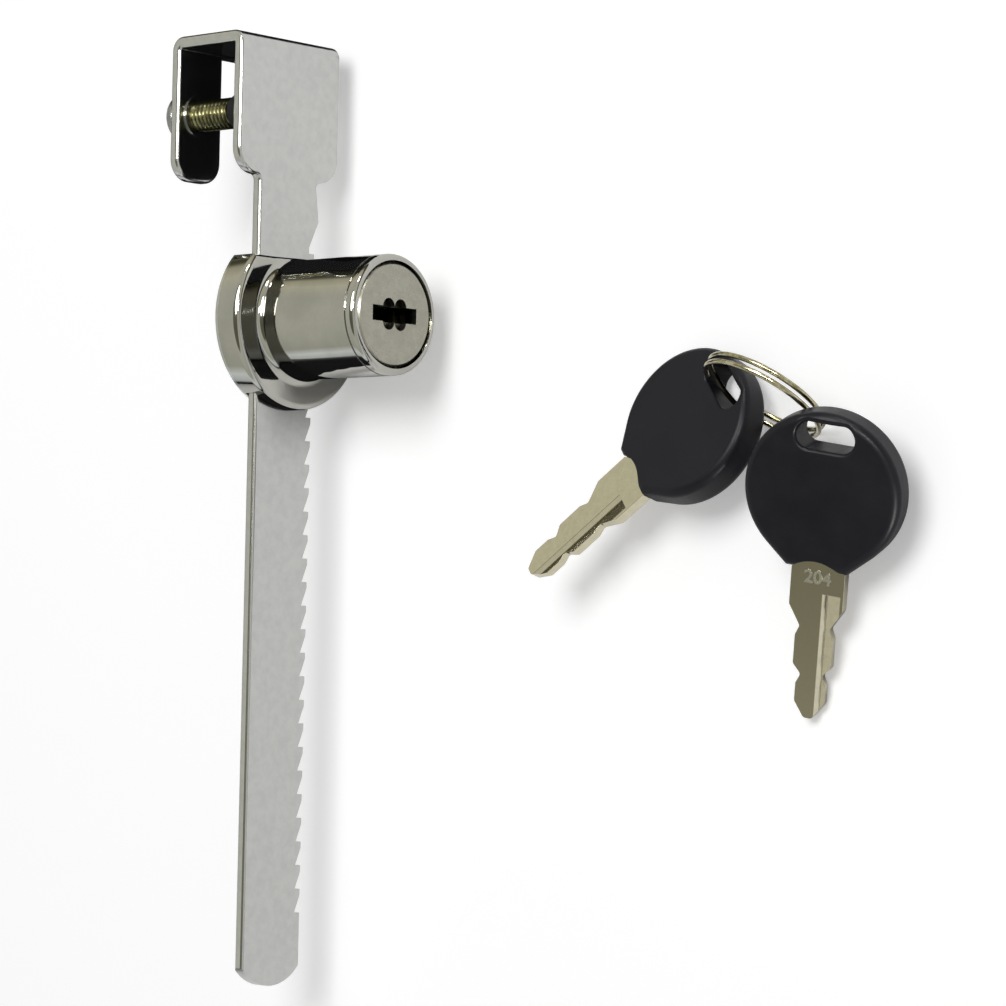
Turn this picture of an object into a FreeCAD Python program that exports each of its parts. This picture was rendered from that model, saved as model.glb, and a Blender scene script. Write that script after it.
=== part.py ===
import FreeCAD
import Part
import math
import os
import re
import Sketcher
from FreeCAD import Placement, Rotation, Vector

# A ratchet lock for sliding glass doors. A punched steel strip is bent into a hook
# that grips the edge of one glass door, and a clamp screw with a soft pad holds it.
# A die-cast lock head slides on the strip's toothed bar. A pawl in the head drops
# into the teeth, and the key's quarter turn draws it out again.
#
# Frame: x runs out of the front of the lock, y along the bar towards the hook and
# z up across the strip. x = 0 is the strip's back face, which lies on the glass,
# y = 0 is the seat of the hook on the glass edge and z = 0 is the middle of the bar.
# The two keys lie beside the lock on the surface that the lock's flange rests on.

SIZES = [
    # the steel strip and its hook
    ("strip_thick", 1.8, "thickness of the strip"),
    ("strip_half", 5.9, "half the width of the bar, teeth included"),
    ("strip_edge", 0.55, "rolled edge on the plain side of the bar"),
    ("plate_half", 10.45, "half the width of the hook's plate"),
    ("plate_drop", 19.6, "seat to the shoulders of the plate"),
    ("shoulder_round", 3.8, "round at the plate's lower corners"),
    ("shoulder_flat", 0.7, "least flat left between that round and the neck"),
    ("neck_round", 0.9, "round where the shoulders meet the neck"),
    ("bend_inner", 0.3, "inner radius of the two bends"),
    ("glass_gap", 11.6, "gap between plate and leg"),
    ("leg_drop", 19.95, "seat to the end of the leg"),
    ("leg_low", 1.25, "lower edge of the leg, from the middle"),
    ("leg_round", 3.3, "round at the leg's end corners"),
    ("neck", 10.94, "shoulders to the first tooth"),
    ("first_flat", 0.94, "flat root before the first tooth"),
    ("flare_ramp", 4.0, "ramp from that root to the flare"),
    ("flare_half", 6.7, "half width at the flare that stops the head"),
    ("tooth_pitch", 3.56, "pitch of the teeth"),
    ("tooth_depth", 1.1, "depth of the teeth"),
    ("tooth_flat", 0.95, "flat on each tooth's tip"),
    ("notch_count", 28, "notches after the first tooth"),
    ("plain_end", 7.88, "plain bar after the last tooth"),
    ("tip_bulge", 2.84, "how far the rounded end stands out"),
    # the clamp screw and its pad
    ("clamp_y", 9.9, "screw axis below the seat"),
    ("clamp_z", 5.85, "screw axis above the middle"),
    ("thread_r", 2.4, "radius over the screw's thread"),
    ("thread_fit", 0.05, "running gap of the screw in its hole"),
    ("collar_r", 3.3, "radius of the drawn collar"),
    ("collar_rise", 0.3, "height of the drawn collar"),
    ("screw_stand", 0.8, "leg to the underside of the screw's head"),
    ("screw_head_r", 3.6, "radius of the screw's head"),
    ("screw_head_rim", 1.1, "height of the head's straight rim"),
    ("screw_head_dome", 1.3, "height of the head's dome"),
    ("recess_long", 4.2, "length of the screw's cross recess"),
    ("recess_wide", 0.8, "width of the screw's cross recess"),
    ("recess_deep", 1.3, "depth of the screw's cross recess"),
    ("pad_r", 2.75, "radius of the pad"),
    ("pad_thick", 2.3, "thickness of the pad"),
    ("pad_off", 1.0, "pad to the plate as photographed"),
    ("pad_round", 0.4, "rounded rim of the pad"),
    ("pin_end_r", 1.6, "radius of the screw's turned end"),
    ("pin_end", 1.3, "length of that end inside the pad"),
    # the lock head
    ("head_notch", 3, "notch that the front pawl tooth stands at"),
    ("head_lead", 0.12, "lock axis ahead of that notch"),
    ("head_drop", 1.2, "lock axis below the middle of the bar"),
    ("flange_r", 13.5, "radius of the flange"),
    ("flange_front", 4.05, "front face of the flange"),
    ("flat_stand", 0.2, "flange's flat beyond the barrel"),
    ("flange_rim", 1.0, "rounded front rim of the flange"),
    ("barrel_r", 9.0, "radius of the barrel"),
    ("barrel_front", 23.3, "front of the barrel"),
    ("barrel_root", 1.2, "round where barrel meets flange"),
    ("lip_round", 0.8, "rounded lip of the barrel"),
    ("lip_back", 1.5, "lip to the fine groove behind it"),
    ("lip_groove", 0.3, "width of that groove"),
    ("lip_groove_deep", 0.15, "depth of that groove"),
    ("lip_wall", 1.0, "wall of the barrel round the plug's face"),
    ("face_gap", 0.15, "gap round the plug's face"),
    ("face_deep", 1.6, "depth of the recess for the plug's face"),
    ("bore_gap", 0.1, "running gap of the plug in its bore"),
    ("wall_front", 5.75, "front of the wall behind the plug"),
    ("wall_back", 4.85, "back of that wall"),
    ("clip_room_r", 5.5, "radius of the room for the clip"),
    ("floor_x", 3.0, "front of the pawl's room"),
    ("slide_gap", 0.15, "gap between strip and head, back and front"),
    ("rail_gap", 0.2, "gap beside the strip's edges"),
    ("cover_thick", 0.8, "thickness of the back cover"),
    ("cover_edge", 0.3, "chamfer round the back of the cover"),
    ("cover_screw_y", 6.6, "upper cover screws from the lock axis"),
    ("cover_screw_z", 8.7, "upper cover screws above the lock axis"),
    ("cover_screw_y_low", 7.2, "lower cover screws from the lock axis"),
    ("cover_screw_z_low", 8.0, "lower cover screws below the lock axis"),
    ("cover_screw_r", 1.0, "radius of the cover screws"),
    ("cover_screw_head_r", 1.75, "radius of their flat heads"),
    ("cover_screw_deep", 4.05, "length of the cover screws"),
    ("cover_screw_gap", 0.03, "gap round the cover screws"),
    ("cover_cross_long", 1.2, "half the length of their cross, in screw radii"),
    ("cover_cross_wide", 0.2, "half the width of their cross, in screw radii"),
    # the plug and what is on its tail
    ("plug_core_r", 6.2, "radius of the plug"),
    ("plug_sink", 0.1, "face of the plug behind the lip"),
    ("plug_bevel", 0.45, "bevel round the plug's face"),
    ("plug_end_gap", 0.1, "end play of the plug"),
    ("tail_r", 4.0, "radius of the plug's tail"),
    ("tail_gap", 0.1, "gap round the tail"),
    ("tail_flat", 3.3, "half width over the tail's flats"),
    ("clip_groove_r", 3.2, "radius of the clip's groove"),
    ("clip_groove", 0.6, "width of the clip's groove"),
    ("clip_lip", 0.4, "tail behind the clip's groove"),
    ("clip_r", 4.8, "radius of the retaining clip"),
    ("clip_thick", 0.5, "thickness of the retaining clip"),
    ("clip_mouth", 1.6, "half width of the clip's mouth"),
    ("washer_r", 4.9, "radius of the stop washer"),
    ("washer_thick", 0.7, "thickness of the stop washer"),
    ("washer_gap", 0.05, "gap of the washer on the tail"),
    ("tab_r", 7.4, "reach of the washer's tab"),
    ("tab_half", 1.2, "half width of the washer's tab"),
    ("stop_room", 0.2, "room beyond the tab's reach"),
    ("stop_play", 1.0, "play at each stop, degrees"),
    ("plug_turn", 90, "turn of the plug, degrees"),
    ("keyway_half", 4.7, "half the keyway's length"),
    ("keyway_wide", 1.15, "half the keyway's width"),
    ("keyway_floor", 6.7, "bottom of the keyway"),
    ("clover_r", 1.25, "radius of each lobe round the keyway"),
    ("clover_y", 1.1, "lobes from the middle, along the bar"),
    ("clover_z", 1.25, "lobes from the middle, across the bar"),
    ("clover_deep", 1.2, "depth of the lobes"),
    ("drive_off", 0.675, "drive pin from the lock axis, each way"),
    ("drive_r", 0.8, "radius of the drive pin"),
    ("drive_hold", 2.4, "length of the pin inside the tail"),
    ("drive_fit", 0.01, "press gap round the pin"),
    # wafers
    ("wafer_count", 7, "wafers in the plug"),
    ("wafer_first", 7.9, "back of the first wafer's slot"),
    ("wafer_pitch", 2.0, "pitch of the wafers"),
    ("wafer_thick", 0.95, "thickness of a wafer"),
    ("wafer_half_y", 3.4, "half the width of a wafer"),
    ("wafer_half_z", 5.8, "half the length of a wafer"),
    ("wafer_r", 6.0, "rounded ends of a wafer"),
    ("wafer_gap", 0.05, "gap round a wafer in its slot"),
    ("window_y", 1.3, "half the width of a wafer's window"),
    ("window_z", 4.5, "half the length of a wafer's window"),
    ("ear_y", 4.9, "reach of a wafer's ear"),
    ("ear_low", 0.3, "underside of the ear"),
    ("ear_high", 1.3, "top of the ear"),
    ("ear_lift", 1.4, "room for the ear to rise"),
    ("spring_y", 4.15, "wafer spring from the lock axis"),
    ("spring_pocket_r", 0.7, "radius of the spring's pocket"),
    ("spring_floor", 3.4, "bottom of the spring's pocket"),
    ("spring_r", 0.51, "mean radius of a wafer spring"),
    ("spring_wire_r", 0.09, "wire radius of a wafer spring"),
    ("spring_turns", 5, "turns of a wafer spring"),
    ("seat_gap", 0.02, "gap at each end of a spring"),
    # pawl
    ("pawl_back", 0.1, "back of the pawl from the strip's back"),
    ("pawl_thin", 1.6, "thickness of the pawl beside the teeth"),
    ("pawl_thick", 2.7, "thickness of the pawl's foot"),
    ("pawl_gap", 0.1, "pawl tooth to the bar's steep face"),
    ("pawl_tip_gap", 0.15, "pawl tooth to the root when engaged"),
    ("pawl_foot", 2.6, "height of the pawl's foot"),
    ("pawl_low", 10.2, "underside of the pawl from the bar's middle"),
    ("pawl_side_gap", 0.15, "gap each side of the pawl"),
    ("tab_back", 2.1, "back of the pawl's tab"),
    ("tab_thick", 0.8, "thickness of the pawl's tab"),
    ("tab_wide", 2.5, "half the width of the pawl's tab"),
    ("tab_top", 2.3, "top of the tab from the lock axis"),
    ("slot_mid", 0.815, "middle of the pin slot from the lock axis"),
    ("slot_half", 1.065, "half the length of the pin slot"),
    ("slot_gap", 0.08, "gap between pin and slot"),
    ("room_low", 12.0, "bottom of the pawl's room from the lock axis"),
    ("room_top", 3.95, "top of the tab's room from the lock axis"),
    ("pawl_spring_r", 1.0, "mean radius of the pawl spring"),
    ("pawl_wire_r", 0.17, "wire radius of the pawl spring"),
    ("pawl_turns", 3, "turns of the pawl spring"),
    # keys
    ("bow_r", 11.1, "radius of a key's bow"),
    ("bow_half", 2.5, "half the thickness of the bow"),
    ("bow_rim", 1.2, "rounded rim of the bow"),
    ("chin_half", 4.4, "half the width of the bow's chin"),
    ("chin_drop", 10.95, "bow's middle to the chin"),
    ("chin_angle", 48.3, "where the chin leaves the round, degrees"),
    ("arch_r", 5.25, "radius of the arch over the blade"),
    ("arch_top", 9.6, "bow's middle to the arch"),
    ("hole_mid", 7.75, "bow's middle to the ring hole"),
    ("hole_half", 4.15, "half the length of the ring hole"),
    ("hole_r", 1.85, "half the width of the ring hole"),
    ("hole_rim", 0.5, "rounded rim of the ring hole"),
    ("blade_half", 0.85, "half the thickness of the blade"),
    ("blade_wide", 3.85, "half the width at the shoulders"),
    ("blade_step", 16.7, "bow's middle to the end of the shoulders"),
    ("blade_land", 2.68, "half the width of the lands"),
    ("blade_cut_a", 2.1, "half the width at the first cut"),
    ("blade_cut_b", 1.45, "half the width at the second cut"),
    ("blade_end", 2.1, "half the width near the tip"),
    ("blade_nose", 0.6, "half the width of the nose"),
    ("cut_a", 19.6, "bow's middle to the first cut"),
    ("cut_b", 26.5, "bow's middle to the second cut"),
    ("cut_slope", 1.37, "length of each cut's slope"),
    ("blade_taper", 30.45, "bow's middle to the taper of the tip"),
    ("blade_tip", 32.7, "bow's middle to the tip"),
    ("blade_round", 0.6, "radius of the blade's corners"),
    ("tang_half", 3.0, "half the width of the tang in the bow"),
    ("tang_top", 3.4, "bow's middle to the end of the tang"),
    ("tang_gap", 0.02, "gap round the tang"),
    ("mill_near", 0.85, "milled groove from the blade's middle"),
    ("mill_wide", 2.55, "width of the milled groove"),
    ("mill_deep", 0.6, "depth of the milled groove at its wall"),
    ("mill_far", 0.1, "depth of the milled groove at its far side"),
    ("mill_slope", 0.5, "width of the groove's sloping wall"),
    ("mill_start", 14.6, "bow's middle to the start of the groove"),
    ("mill_stop", 33.5, "bow's middle to the end of the groove"),
    # where the keys and the ring lie
    ("key_1_x", 73.28, "first key's bow"),
    ("key_1_y", 58.4, "first key's bow, down the bar"),
    ("key_1_rise", 5.48, "first key's bow above the surface"),
    ("key_1_yaw", -50.25, "first key, turn about z, degrees"),
    ("key_1_lift", -8.54, "first key, lift of the hole end, degrees"),
    ("key_1_roll", -14.13, "first key, roll about its length, degrees"),
    ("key_2_x", 99.09, "second key's bow"),
    ("key_2_y", 67.78, "second key's bow, down the bar"),
    ("key_2_rise", 9.15, "second key's bow above the surface"),
    ("key_2_yaw", -14.99, "second key, turn about z, degrees"),
    ("key_2_lift", 14.19, "second key, lift of the hole end, degrees"),
    ("key_2_roll", 19.05, "second key, roll about its length, degrees"),
    ("ring_x", 87.77, "middle of the split ring"),
    ("ring_y", 54.77, "middle of the split ring, down the bar"),
    ("ring_rise", 8.41, "middle of the split ring above the surface"),
    ("ring_yaw", 74.4, "heading of the ring's axis, degrees"),
    ("ring_dip", 29.0, "dip of the ring's axis, degrees"),
    ("ring_r", 8.86, "radius of the split ring"),
    ("ring_wire_r", 0.375, "radius of the ring's wire"),
    ("ring_apart", 1.2, "distance between the ring's two turns"),
    ("ring_jog", 60, "angle in which the wire changes turn, degrees"),
    ("ring_jog_at", 150, "where the wire changes turn, degrees"),
]
NAMES = {alias for alias, _, _ in SIZES}

# How far each wafer's window stands off its middle: the pattern that one key fits.
BITTING = [0.4, -0.2, 0.6, 0.0, -0.5, 0.3, -0.3]

doc = FreeCAD.newDocument("showcase_lock")
sheet = doc.addObject("Spreadsheet::Sheet", "sizes")
for row, (alias, value, note) in enumerate(SIZES, 1):
    sheet.set("A%d" % row, str(value))
    sheet.setAlias("A%d" % row, alias)
    sheet.set("B%d" % row, note)
doc.recompute()
nodes = []


def cell(formula):
    """Turn the bare size names in a formula into cells of the sheet."""
    return re.sub(r"[a-z_][a-z_0-9]*",
                  lambda word: "sizes." + word.group() if word.group() in NAMES else word.group(),
                  formula)


def number(formula):
    """Value of a formula, as a plain number."""
    value = sheet.evalExpression(cell(formula))
    return float(getattr(value, "Value", value))


def bind(thing, **formulas):
    """Bind properties to formulas; a double underscore in a name stands for a dot."""
    for name, formula in formulas.items():
        thing.setExpression(name.replace("__", "."), cell(formula))
    return thing


def place(thing, x="0", y="0", z="0"):
    """Bind where a thing stands."""
    return bind(thing, Placement__Base__x=x, Placement__Base__y=y, Placement__Base__z=z)


def node(thing, label):
    """Keep a thing as one of the lock's pieces."""
    thing.Label = label
    nodes.append(thing)
    return thing


# Places that several pieces share
FIRST_TOOTH = "(plate_drop + neck)"
HEAD_Y = "(head_lead - plate_drop - neck - tooth_pitch * head_notch)"
HEAD_Z = "(-head_drop)"
SURFACE = "(-head_drop - flange_r)"
PAWL_TRAVEL = "(2 * drive_off)"
BORE_R = "(plug_core_r + bore_gap)"
COVER_FRONT = "(-slide_gap)"
FLAT = "(barrel_r + flat_stand)"
FACE_R = "(barrel_r - lip_wall - face_gap)"


# Part primitives, each bound to the sheet
TURN_X = Rotation(Vector(0, 1, 0), 90)


def box(name, x, y, z):
    """A box from three pairs of formulas, lowest and highest."""
    solid = doc.addObject("Part::Box", name)
    bind(solid, Length="%s - (%s)" % (x[1], x[0]), Width="%s - (%s)" % (y[1], y[0]),
         Height="%s - (%s)" % (z[1], z[0]))
    return place(solid, x[0], y[0], z[0])


def rod(name, radius, x, y="0", z="0"):
    """A cylinder along x."""
    solid = doc.addObject("Part::Cylinder", name)
    solid.Placement = Placement(Vector(), TURN_X)
    bind(solid, Radius=radius, Height="%s - (%s)" % (x[1], x[0]))
    return place(solid, x[0], y, z)


def cone(name, radii, x, y="0", z="0"):
    """A cone along x."""
    solid = doc.addObject("Part::Cone", name)
    solid.Placement = Placement(Vector(), TURN_X)
    bind(solid, Radius1=radii[0], Radius2=radii[1], Height="%s - (%s)" % (x[1], x[0]))
    return place(solid, x[0], y, z)


def fuse(name, pieces):
    """The pieces made one."""
    joined = doc.addObject("Part::MultiFuse", name)
    joined.Shapes = pieces
    return joined


def cut(name, base, tools):
    """The base less the tools."""
    less = doc.addObject("Part::Cut", name)
    less.Base = base
    less.Tool = tools[0] if len(tools) == 1 else fuse(name + "_tools", tools)
    return less


def common(name, first, second):
    """What two solids share."""
    shared = doc.addObject("Part::Common", name)
    shared.Base = first
    shared.Tool = second
    return shared


# Sketches and features of a body
def new_body(name):
    return doc.addObject("PartDesign::Body", name)


def origin_part(body, role):
    """One of the body's own planes or axes."""
    return [part for part in body.Origin.OriginFeatures if part.Role == role][0]


def sketch_on(body, role, name, lift="0"):
    """A sketch on one of the body's planes, lifted along its normal."""
    sketch = body.newObject("Sketcher::SketchObject", name)
    sketch.AttachmentSupport = [(origin_part(body, role), "")]
    sketch.MapMode = "FlatFace"
    return bind(sketch, AttachmentOffset__Base__z=lift)


def arc_between(start, end, radius):
    """The short arc between two points; a positive radius has its centre on the left."""
    chord = end - start
    half = chord.Length / 2
    side = Vector(-chord.y, chord.x, 0).normalize() * math.copysign(1, radius)
    centre = (start + end) * 0.5 + side * math.sqrt(radius ** 2 - half ** 2)
    return Part.Arc(start, centre - side * abs(radius), end)


def hold(sketch, kind, formula, *where):
    """A driven distance or radius, bound to the sheet."""
    at = sketch.addConstraint(Sketcher.Constraint(kind, *where, number(formula)))
    sketch.setExpression("Constraints[%d]" % at, cell(formula))


def outline(sketch, corners):
    """A closed outline through corners; a third formula makes the next side an arc."""
    points = [Vector(number(corner[0]), number(corner[1]), 0) for corner in corners]
    ends = []
    for at, corner in enumerate(corners):
        start, end = points[at], points[(at + 1) % len(points)]
        if len(corner) == 3:
            side = sketch.addGeometry(arc_between(start, end, number(corner[2])))
            swapped = (sketch.getPoint(side, 1) - start).Length > 1e-6
            hold(sketch, "Radius", "abs(%s)" % corner[2], side)
        else:
            side = sketch.addGeometry(Part.LineSegment(start, end))
            swapped = False
        ends.append((side, 2, 1) if swapped else (side, 1, 2))
    for at, corner in enumerate(corners):
        side, first, _ = ends[at]
        before, _, last = ends[at - 1]
        sketch.addConstraint(Sketcher.Constraint("Coincident", before, last, side, first))
        hold(sketch, "DistanceX", corner[0], side, first)
        hold(sketch, "DistanceY", corner[1], side, first)
    return sketch


def rectangle(sketch, first, second):
    """A rectangle from two pairs of formulas, lowest and highest."""
    low_a, high_a = first
    low_b, high_b = second
    return outline(sketch, [(low_a, low_b), (high_a, low_b), (high_a, high_b), (low_a, high_b)])


def circle(sketch, radius, first="0", second="0"):
    """A circle about a point."""
    centre = Vector(number(first), number(second), 0)
    ring = sketch.addGeometry(Part.Circle(centre, Vector(0, 0, 1), number(radius)))
    hold(sketch, "Radius", radius, ring)
    hold(sketch, "DistanceX", first, ring, 3)
    hold(sketch, "DistanceY", second, ring, 3)
    return sketch


def pad(body, sketch, length):
    """Material added along the sketch's normal."""
    feature = body.newObject("PartDesign::Pad", sketch.Name + "_pad")
    feature.Profile = sketch
    bind(feature, Length=length)
    doc.recompute()
    return feature


def pocket(body, sketch, depth):
    """Material taken away along the sketch's normal."""
    before = body.Shape.Volume
    feature = body.newObject("PartDesign::Pocket", sketch.Name + "_cut")
    feature.Profile = sketch
    feature.Reversed = True
    bind(feature, Length=depth)
    doc.recompute()
    if not body.Shape.Volume < before - 1e-6:
        raise RuntimeError(feature.Name + " cuts nothing")
    return feature


def turned(body, name, corners):
    """A solid turned about x, from corners given as place and radius."""
    sketch = outline(sketch_on(body, "XY_Plane", name), corners)
    feature = body.newObject("PartDesign::Revolution", name + "_turned")
    feature.Profile = sketch
    feature.ReferenceAxis = (origin_part(body, "X_Axis"), [""])
    feature.Angle = 360
    doc.recompute()
    return feature


def dress(body, kind, name, size, wanted):
    """A fillet or chamfer on the edges of the body whose middle passes a test."""
    base = body.Tip
    names = ["Edge%d" % (at + 1) for at, edge in enumerate(base.Shape.Edges) if wanted(edge)]
    if not names:
        raise RuntimeError(name + " finds no edge")
    feature = body.newObject("PartDesign::" + kind, name)
    feature.Base = (base, names)
    bind(feature, **{"Radius" if kind == "Fillet" else "Size": size})
    doc.recompute()
    return feature


def row_of(body, name, features, pitch, count):
    """Features repeated along x or y."""
    pattern = body.newObject("PartDesign::LinearPattern", name)
    pattern.Originals = features
    axis, step = pitch
    pattern.Direction = (origin_part(body, axis), [""])
    pattern.Reversed = step.startswith("-")
    bind(pattern, Length="%s * (%s - 1)" % (step.lstrip("-"), count), Occurrences=count)
    body.Tip = pattern
    doc.recompute()
    return pattern


def near(edge, x=None, y=None, z=None):
    """Whether an edge's middle has these coordinates."""
    middle = edge.CenterOfMass
    wanted = ((middle.x, x), (middle.y, y), (middle.z, z))
    return all(want is None or abs(have - want) < 1e-3 for have, want in wanted)


def runs(edge, axis):
    """Whether an edge is straight along an axis, 0 for x, 1 for y and 2 for z."""
    if not isinstance(edge.Curve, Part.Line):
        return False
    return abs(abs(edge.Curve.Direction[axis]) - 1) < 1e-6


def rim(edge, x, radius):
    """Whether an edge is an arc of this radius about x, at this place."""
    if not isinstance(edge.Curve, Part.Circle):
        return False
    return abs(edge.CenterOfMass.x - x) < 1e-3 and abs(edge.Curve.Radius - radius) < 1e-3


# Wire: each quarter turn is two arcs that meet in one tangent
def two_arcs(start, heading, end, last_heading):
    """Two arcs from one point and heading to another, joined in one tangent."""
    span = end - start
    both = heading + last_heading
    spread = 2 * (1 - heading.dot(last_heading))
    reach = (math.sqrt(span.dot(both) ** 2 + spread * span.dot(span)) - span.dot(both)) / spread
    middle = (start + end + (heading - last_heading) * reach) * 0.5
    edges = []
    for first, corner, last in ((start, start + heading * reach, middle),
                                (middle, end - last_heading * reach, end)):
        weight = (last - first).Length / (2 * reach)
        crown = (first + corner * (2 * weight) + last) * (0.5 / (1 + weight))
        edges.append(Part.Arc(first, crown, last).toShape())
    return edges


def wire_solid(route, heading, steps, wire_r):
    """A round wire along a route; both functions take the share of it that is run."""
    edges = []
    shares = [step / steps for step in range(steps + 1)]
    for first, last in zip(shares, shares[1:]):
        edges += two_arcs(route(first), heading(first), route(last), heading(last))
    spine = Part.Wire(edges)
    shell = Part.BRepOffsetAPI.MakePipeShell(spine)
    profile = Part.Wire(Part.Circle(route(0), heading(0), wire_r).toShape())
    shell.add(profile)
    shell.build()
    shell.makeSolid()
    return Part.Solid(shell.shape()), spine


def least_gap(name, spine, wire_r, window):
    """Print the least gap of a wire to its own other turns."""
    points = spine.discretize(Distance=wire_r)
    apart = int(window / wire_r)
    gap = min((points[one] - points[two]).Length
              for one in range(0, len(points), 2)
              for two in range(one + apart, len(points), 2)) - 2 * wire_r
    print("%s: least gap to itself %.2f mm" % (name, gap))


def coil(name, radius, wire_r, length, turns):
    """A coil spring standing on z = 0."""
    rise = length - 2 * wire_r

    def route(share):
        angle = 2 * math.pi * turns * share
        return Vector(radius * math.cos(angle), radius * math.sin(angle), wire_r + rise * share)

    def heading(share):
        angle = 2 * math.pi * turns * share
        flat = 2 * math.pi * turns * radius
        return Vector(-flat * math.sin(angle), flat * math.cos(angle), rise).normalize()

    solid, spine = wire_solid(route, heading, int(4 * turns), wire_r)
    least_gap(name, spine, wire_r, 3 * radius)
    thing = doc.addObject("Part::Feature", name)
    thing.Shape = solid
    return thing


# The strip: hook, neck, toothed bar
def toothed_bar():
    body = new_body("toothed_bar")
    hook = outline(sketch_on(body, "XY_Plane", "hook", "-plate_half"), [
        ("strip_thick", "-plate_drop"), ("strip_thick", "strip_thick"),
        ("-glass_gap - strip_thick", "strip_thick"), ("-glass_gap - strip_thick", "-leg_drop"),
        ("-glass_gap", "-leg_drop"), ("-glass_gap", "0"), ("0", "0"), ("0", "-plate_drop")])
    pad(body, hook, "2 * plate_half")
    thick, gap = number("strip_thick"), number("glass_gap")
    dress(body, "Fillet", "bend_inside", "bend_inner",
          lambda edge: runs(edge, 2) and (near(edge, x=0, y=0) or near(edge, x=-gap, y=0)))
    dress(body, "Fillet", "bend_outside", "bend_inner + strip_thick",
          lambda edge: runs(edge, 2) and (near(edge, x=thick, y=thick)
                                          or near(edge, x=-gap - thick, y=thick)))
    tip = "-(%s + tooth_pitch * notch_count + plain_end)" % FIRST_TOOTH
    bar = outline(sketch_on(body, "YZ_Plane", "bar"), [
        ("strip_thick - plate_drop", "strip_half"),
        (tip, "strip_half", "(strip_half ^ 2 + tip_bulge ^ 2) / (2 * tip_bulge)"),
        (tip, "-strip_half"),
        ("-%s" % FIRST_TOOTH, "-strip_half"),
        ("-%s" % FIRST_TOOTH, "tooth_depth - strip_half"),
        ("first_flat - %s" % FIRST_TOOTH, "tooth_depth - strip_half"),
        ("first_flat + flare_ramp - %s" % FIRST_TOOTH, "-flare_half"),
        ("-plate_drop", "-strip_half"),
        ("strip_thick - plate_drop", "-strip_half")])
    pad(body, bar, "strip_thick")
    leg = rectangle(sketch_on(body, "YZ_Plane", "leg_side", "-glass_gap - 2 * strip_thick"),
                    ("-leg_drop - strip_thick", "-bend_inner"), ("-plate_half - strip_thick", "leg_low"))
    pocket(body, leg, "2 * strip_thick")
    collar = circle(sketch_on(body, "YZ_Plane", "collar", "-glass_gap - strip_thick / 2"),
                    "collar_r", "-clamp_y", "clamp_z")
    pad(body, collar, "strip_thick / 2 + collar_rise")
    thread = circle(sketch_on(body, "YZ_Plane", "thread", "-glass_gap - 2 * strip_thick"),
                    "thread_r + thread_fit", "-clamp_y", "clamp_z")
    pocket(body, thread, "2 * strip_thick + collar_rise + strip_thick / 2")
    drop, leg_end = number("-plate_drop"), number("-leg_drop")
    plate, leg_low, half = number("plate_half"), number("leg_low"), number("strip_half")
    dress(body, "Fillet", "shoulders",
          "min(shoulder_round; plate_half - strip_half - shoulder_flat)",
          lambda edge: runs(edge, 0) and (near(edge, y=drop, z=plate) or near(edge, y=drop, z=-plate)))
    dress(body, "Fillet", "leg_corners", "leg_round",
          lambda edge: runs(edge, 0) and (near(edge, y=leg_end, z=plate)
                                          or near(edge, y=leg_end, z=leg_low)))
    dress(body, "Fillet", "neck_corners", "neck_round",
          lambda edge: runs(edge, 0) and (near(edge, y=drop, z=half) or near(edge, y=drop, z=-half)))
    dress(body, "Fillet", "rolled_edge", "strip_edge",
          lambda edge: runs(edge, 1) and (near(edge, x=thick, z=half) or near(edge, x=0, z=half)))
    notch = outline(sketch_on(body, "YZ_Plane", "notch"), [
        ("-%s - tooth_flat" % FIRST_TOOTH, "-strip_half"),
        ("-%s - tooth_pitch" % FIRST_TOOTH, "tooth_depth - strip_half"),
        ("-%s - tooth_pitch" % FIRST_TOOTH, "-flare_half"),
        ("-%s - tooth_flat" % FIRST_TOOTH, "-flare_half")])
    first = pocket(body, notch, "strip_thick")
    row_of(body, "notches", [first], ("Y_Axis", "-tooth_pitch"), "notch_count")
    return node(body, "toothed_bar")


# The screw and the pad that grip the glass
PAD_BACK = "(-pad_off - pad_thick)"
SCREW_SEAT = "(-glass_gap - strip_thick - screw_stand)"


def pressure_pad():
    body = new_body("pressure_pad")
    turned(body, "pad_section", [
        ("-pad_off", "0"), ("-pad_off", "pad_r"), (PAD_BACK, "pad_r"),
        (PAD_BACK, "pin_end_r + thread_fit"),
        (PAD_BACK + " + pin_end + 2 * thread_fit", "pin_end_r + thread_fit"),
        (PAD_BACK + " + pin_end + 2 * thread_fit", "0")])
    radius = number("pad_r")
    dress(body, "Fillet", "pad_rims", "pad_round",
          lambda edge: isinstance(edge.Curve, Part.Circle) and abs(edge.Curve.Radius - radius) < 1e-3)
    return node(place(body, y="-clamp_y", z="clamp_z"), "pressure_pad")


def clamp_screw():
    body = new_body("clamp_screw")
    dome = "(screw_head_r ^ 2 + screw_head_dome ^ 2) / (2 * screw_head_dome)"
    turned(body, "screw_section", [
        (SCREW_SEAT + " - screw_head_rim - screw_head_dome", "0", "-" + dome),
        (SCREW_SEAT + " - screw_head_rim", "screw_head_r"),
        (SCREW_SEAT, "screw_head_r"),
        (SCREW_SEAT, "thread_r"),
        (PAD_BACK + " - 2 * thread_fit", "thread_r"),
        (PAD_BACK + " - 2 * thread_fit", "pin_end_r"),
        (PAD_BACK + " + pin_end", "pin_end_r"),
        (PAD_BACK + " + pin_end", "0")])
    outside = SCREW_SEAT + " - screw_head_rim - 2 * screw_head_dome"
    for name, long_way, short_way in (("recess_up", "recess_long", "recess_wide"),
                                      ("recess_across", "recess_wide", "recess_long")):
        slot = rectangle(sketch_on(body, "YZ_Plane", name, outside),
                         ("-%s / 2" % long_way, "%s / 2" % long_way),
                         ("-%s / 2" % short_way, "%s / 2" % short_way))
        pocket(body, slot, "screw_head_dome + recess_deep")
    return node(place(body, y="-clamp_y", z="clamp_z"), "clamp_screw")


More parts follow.
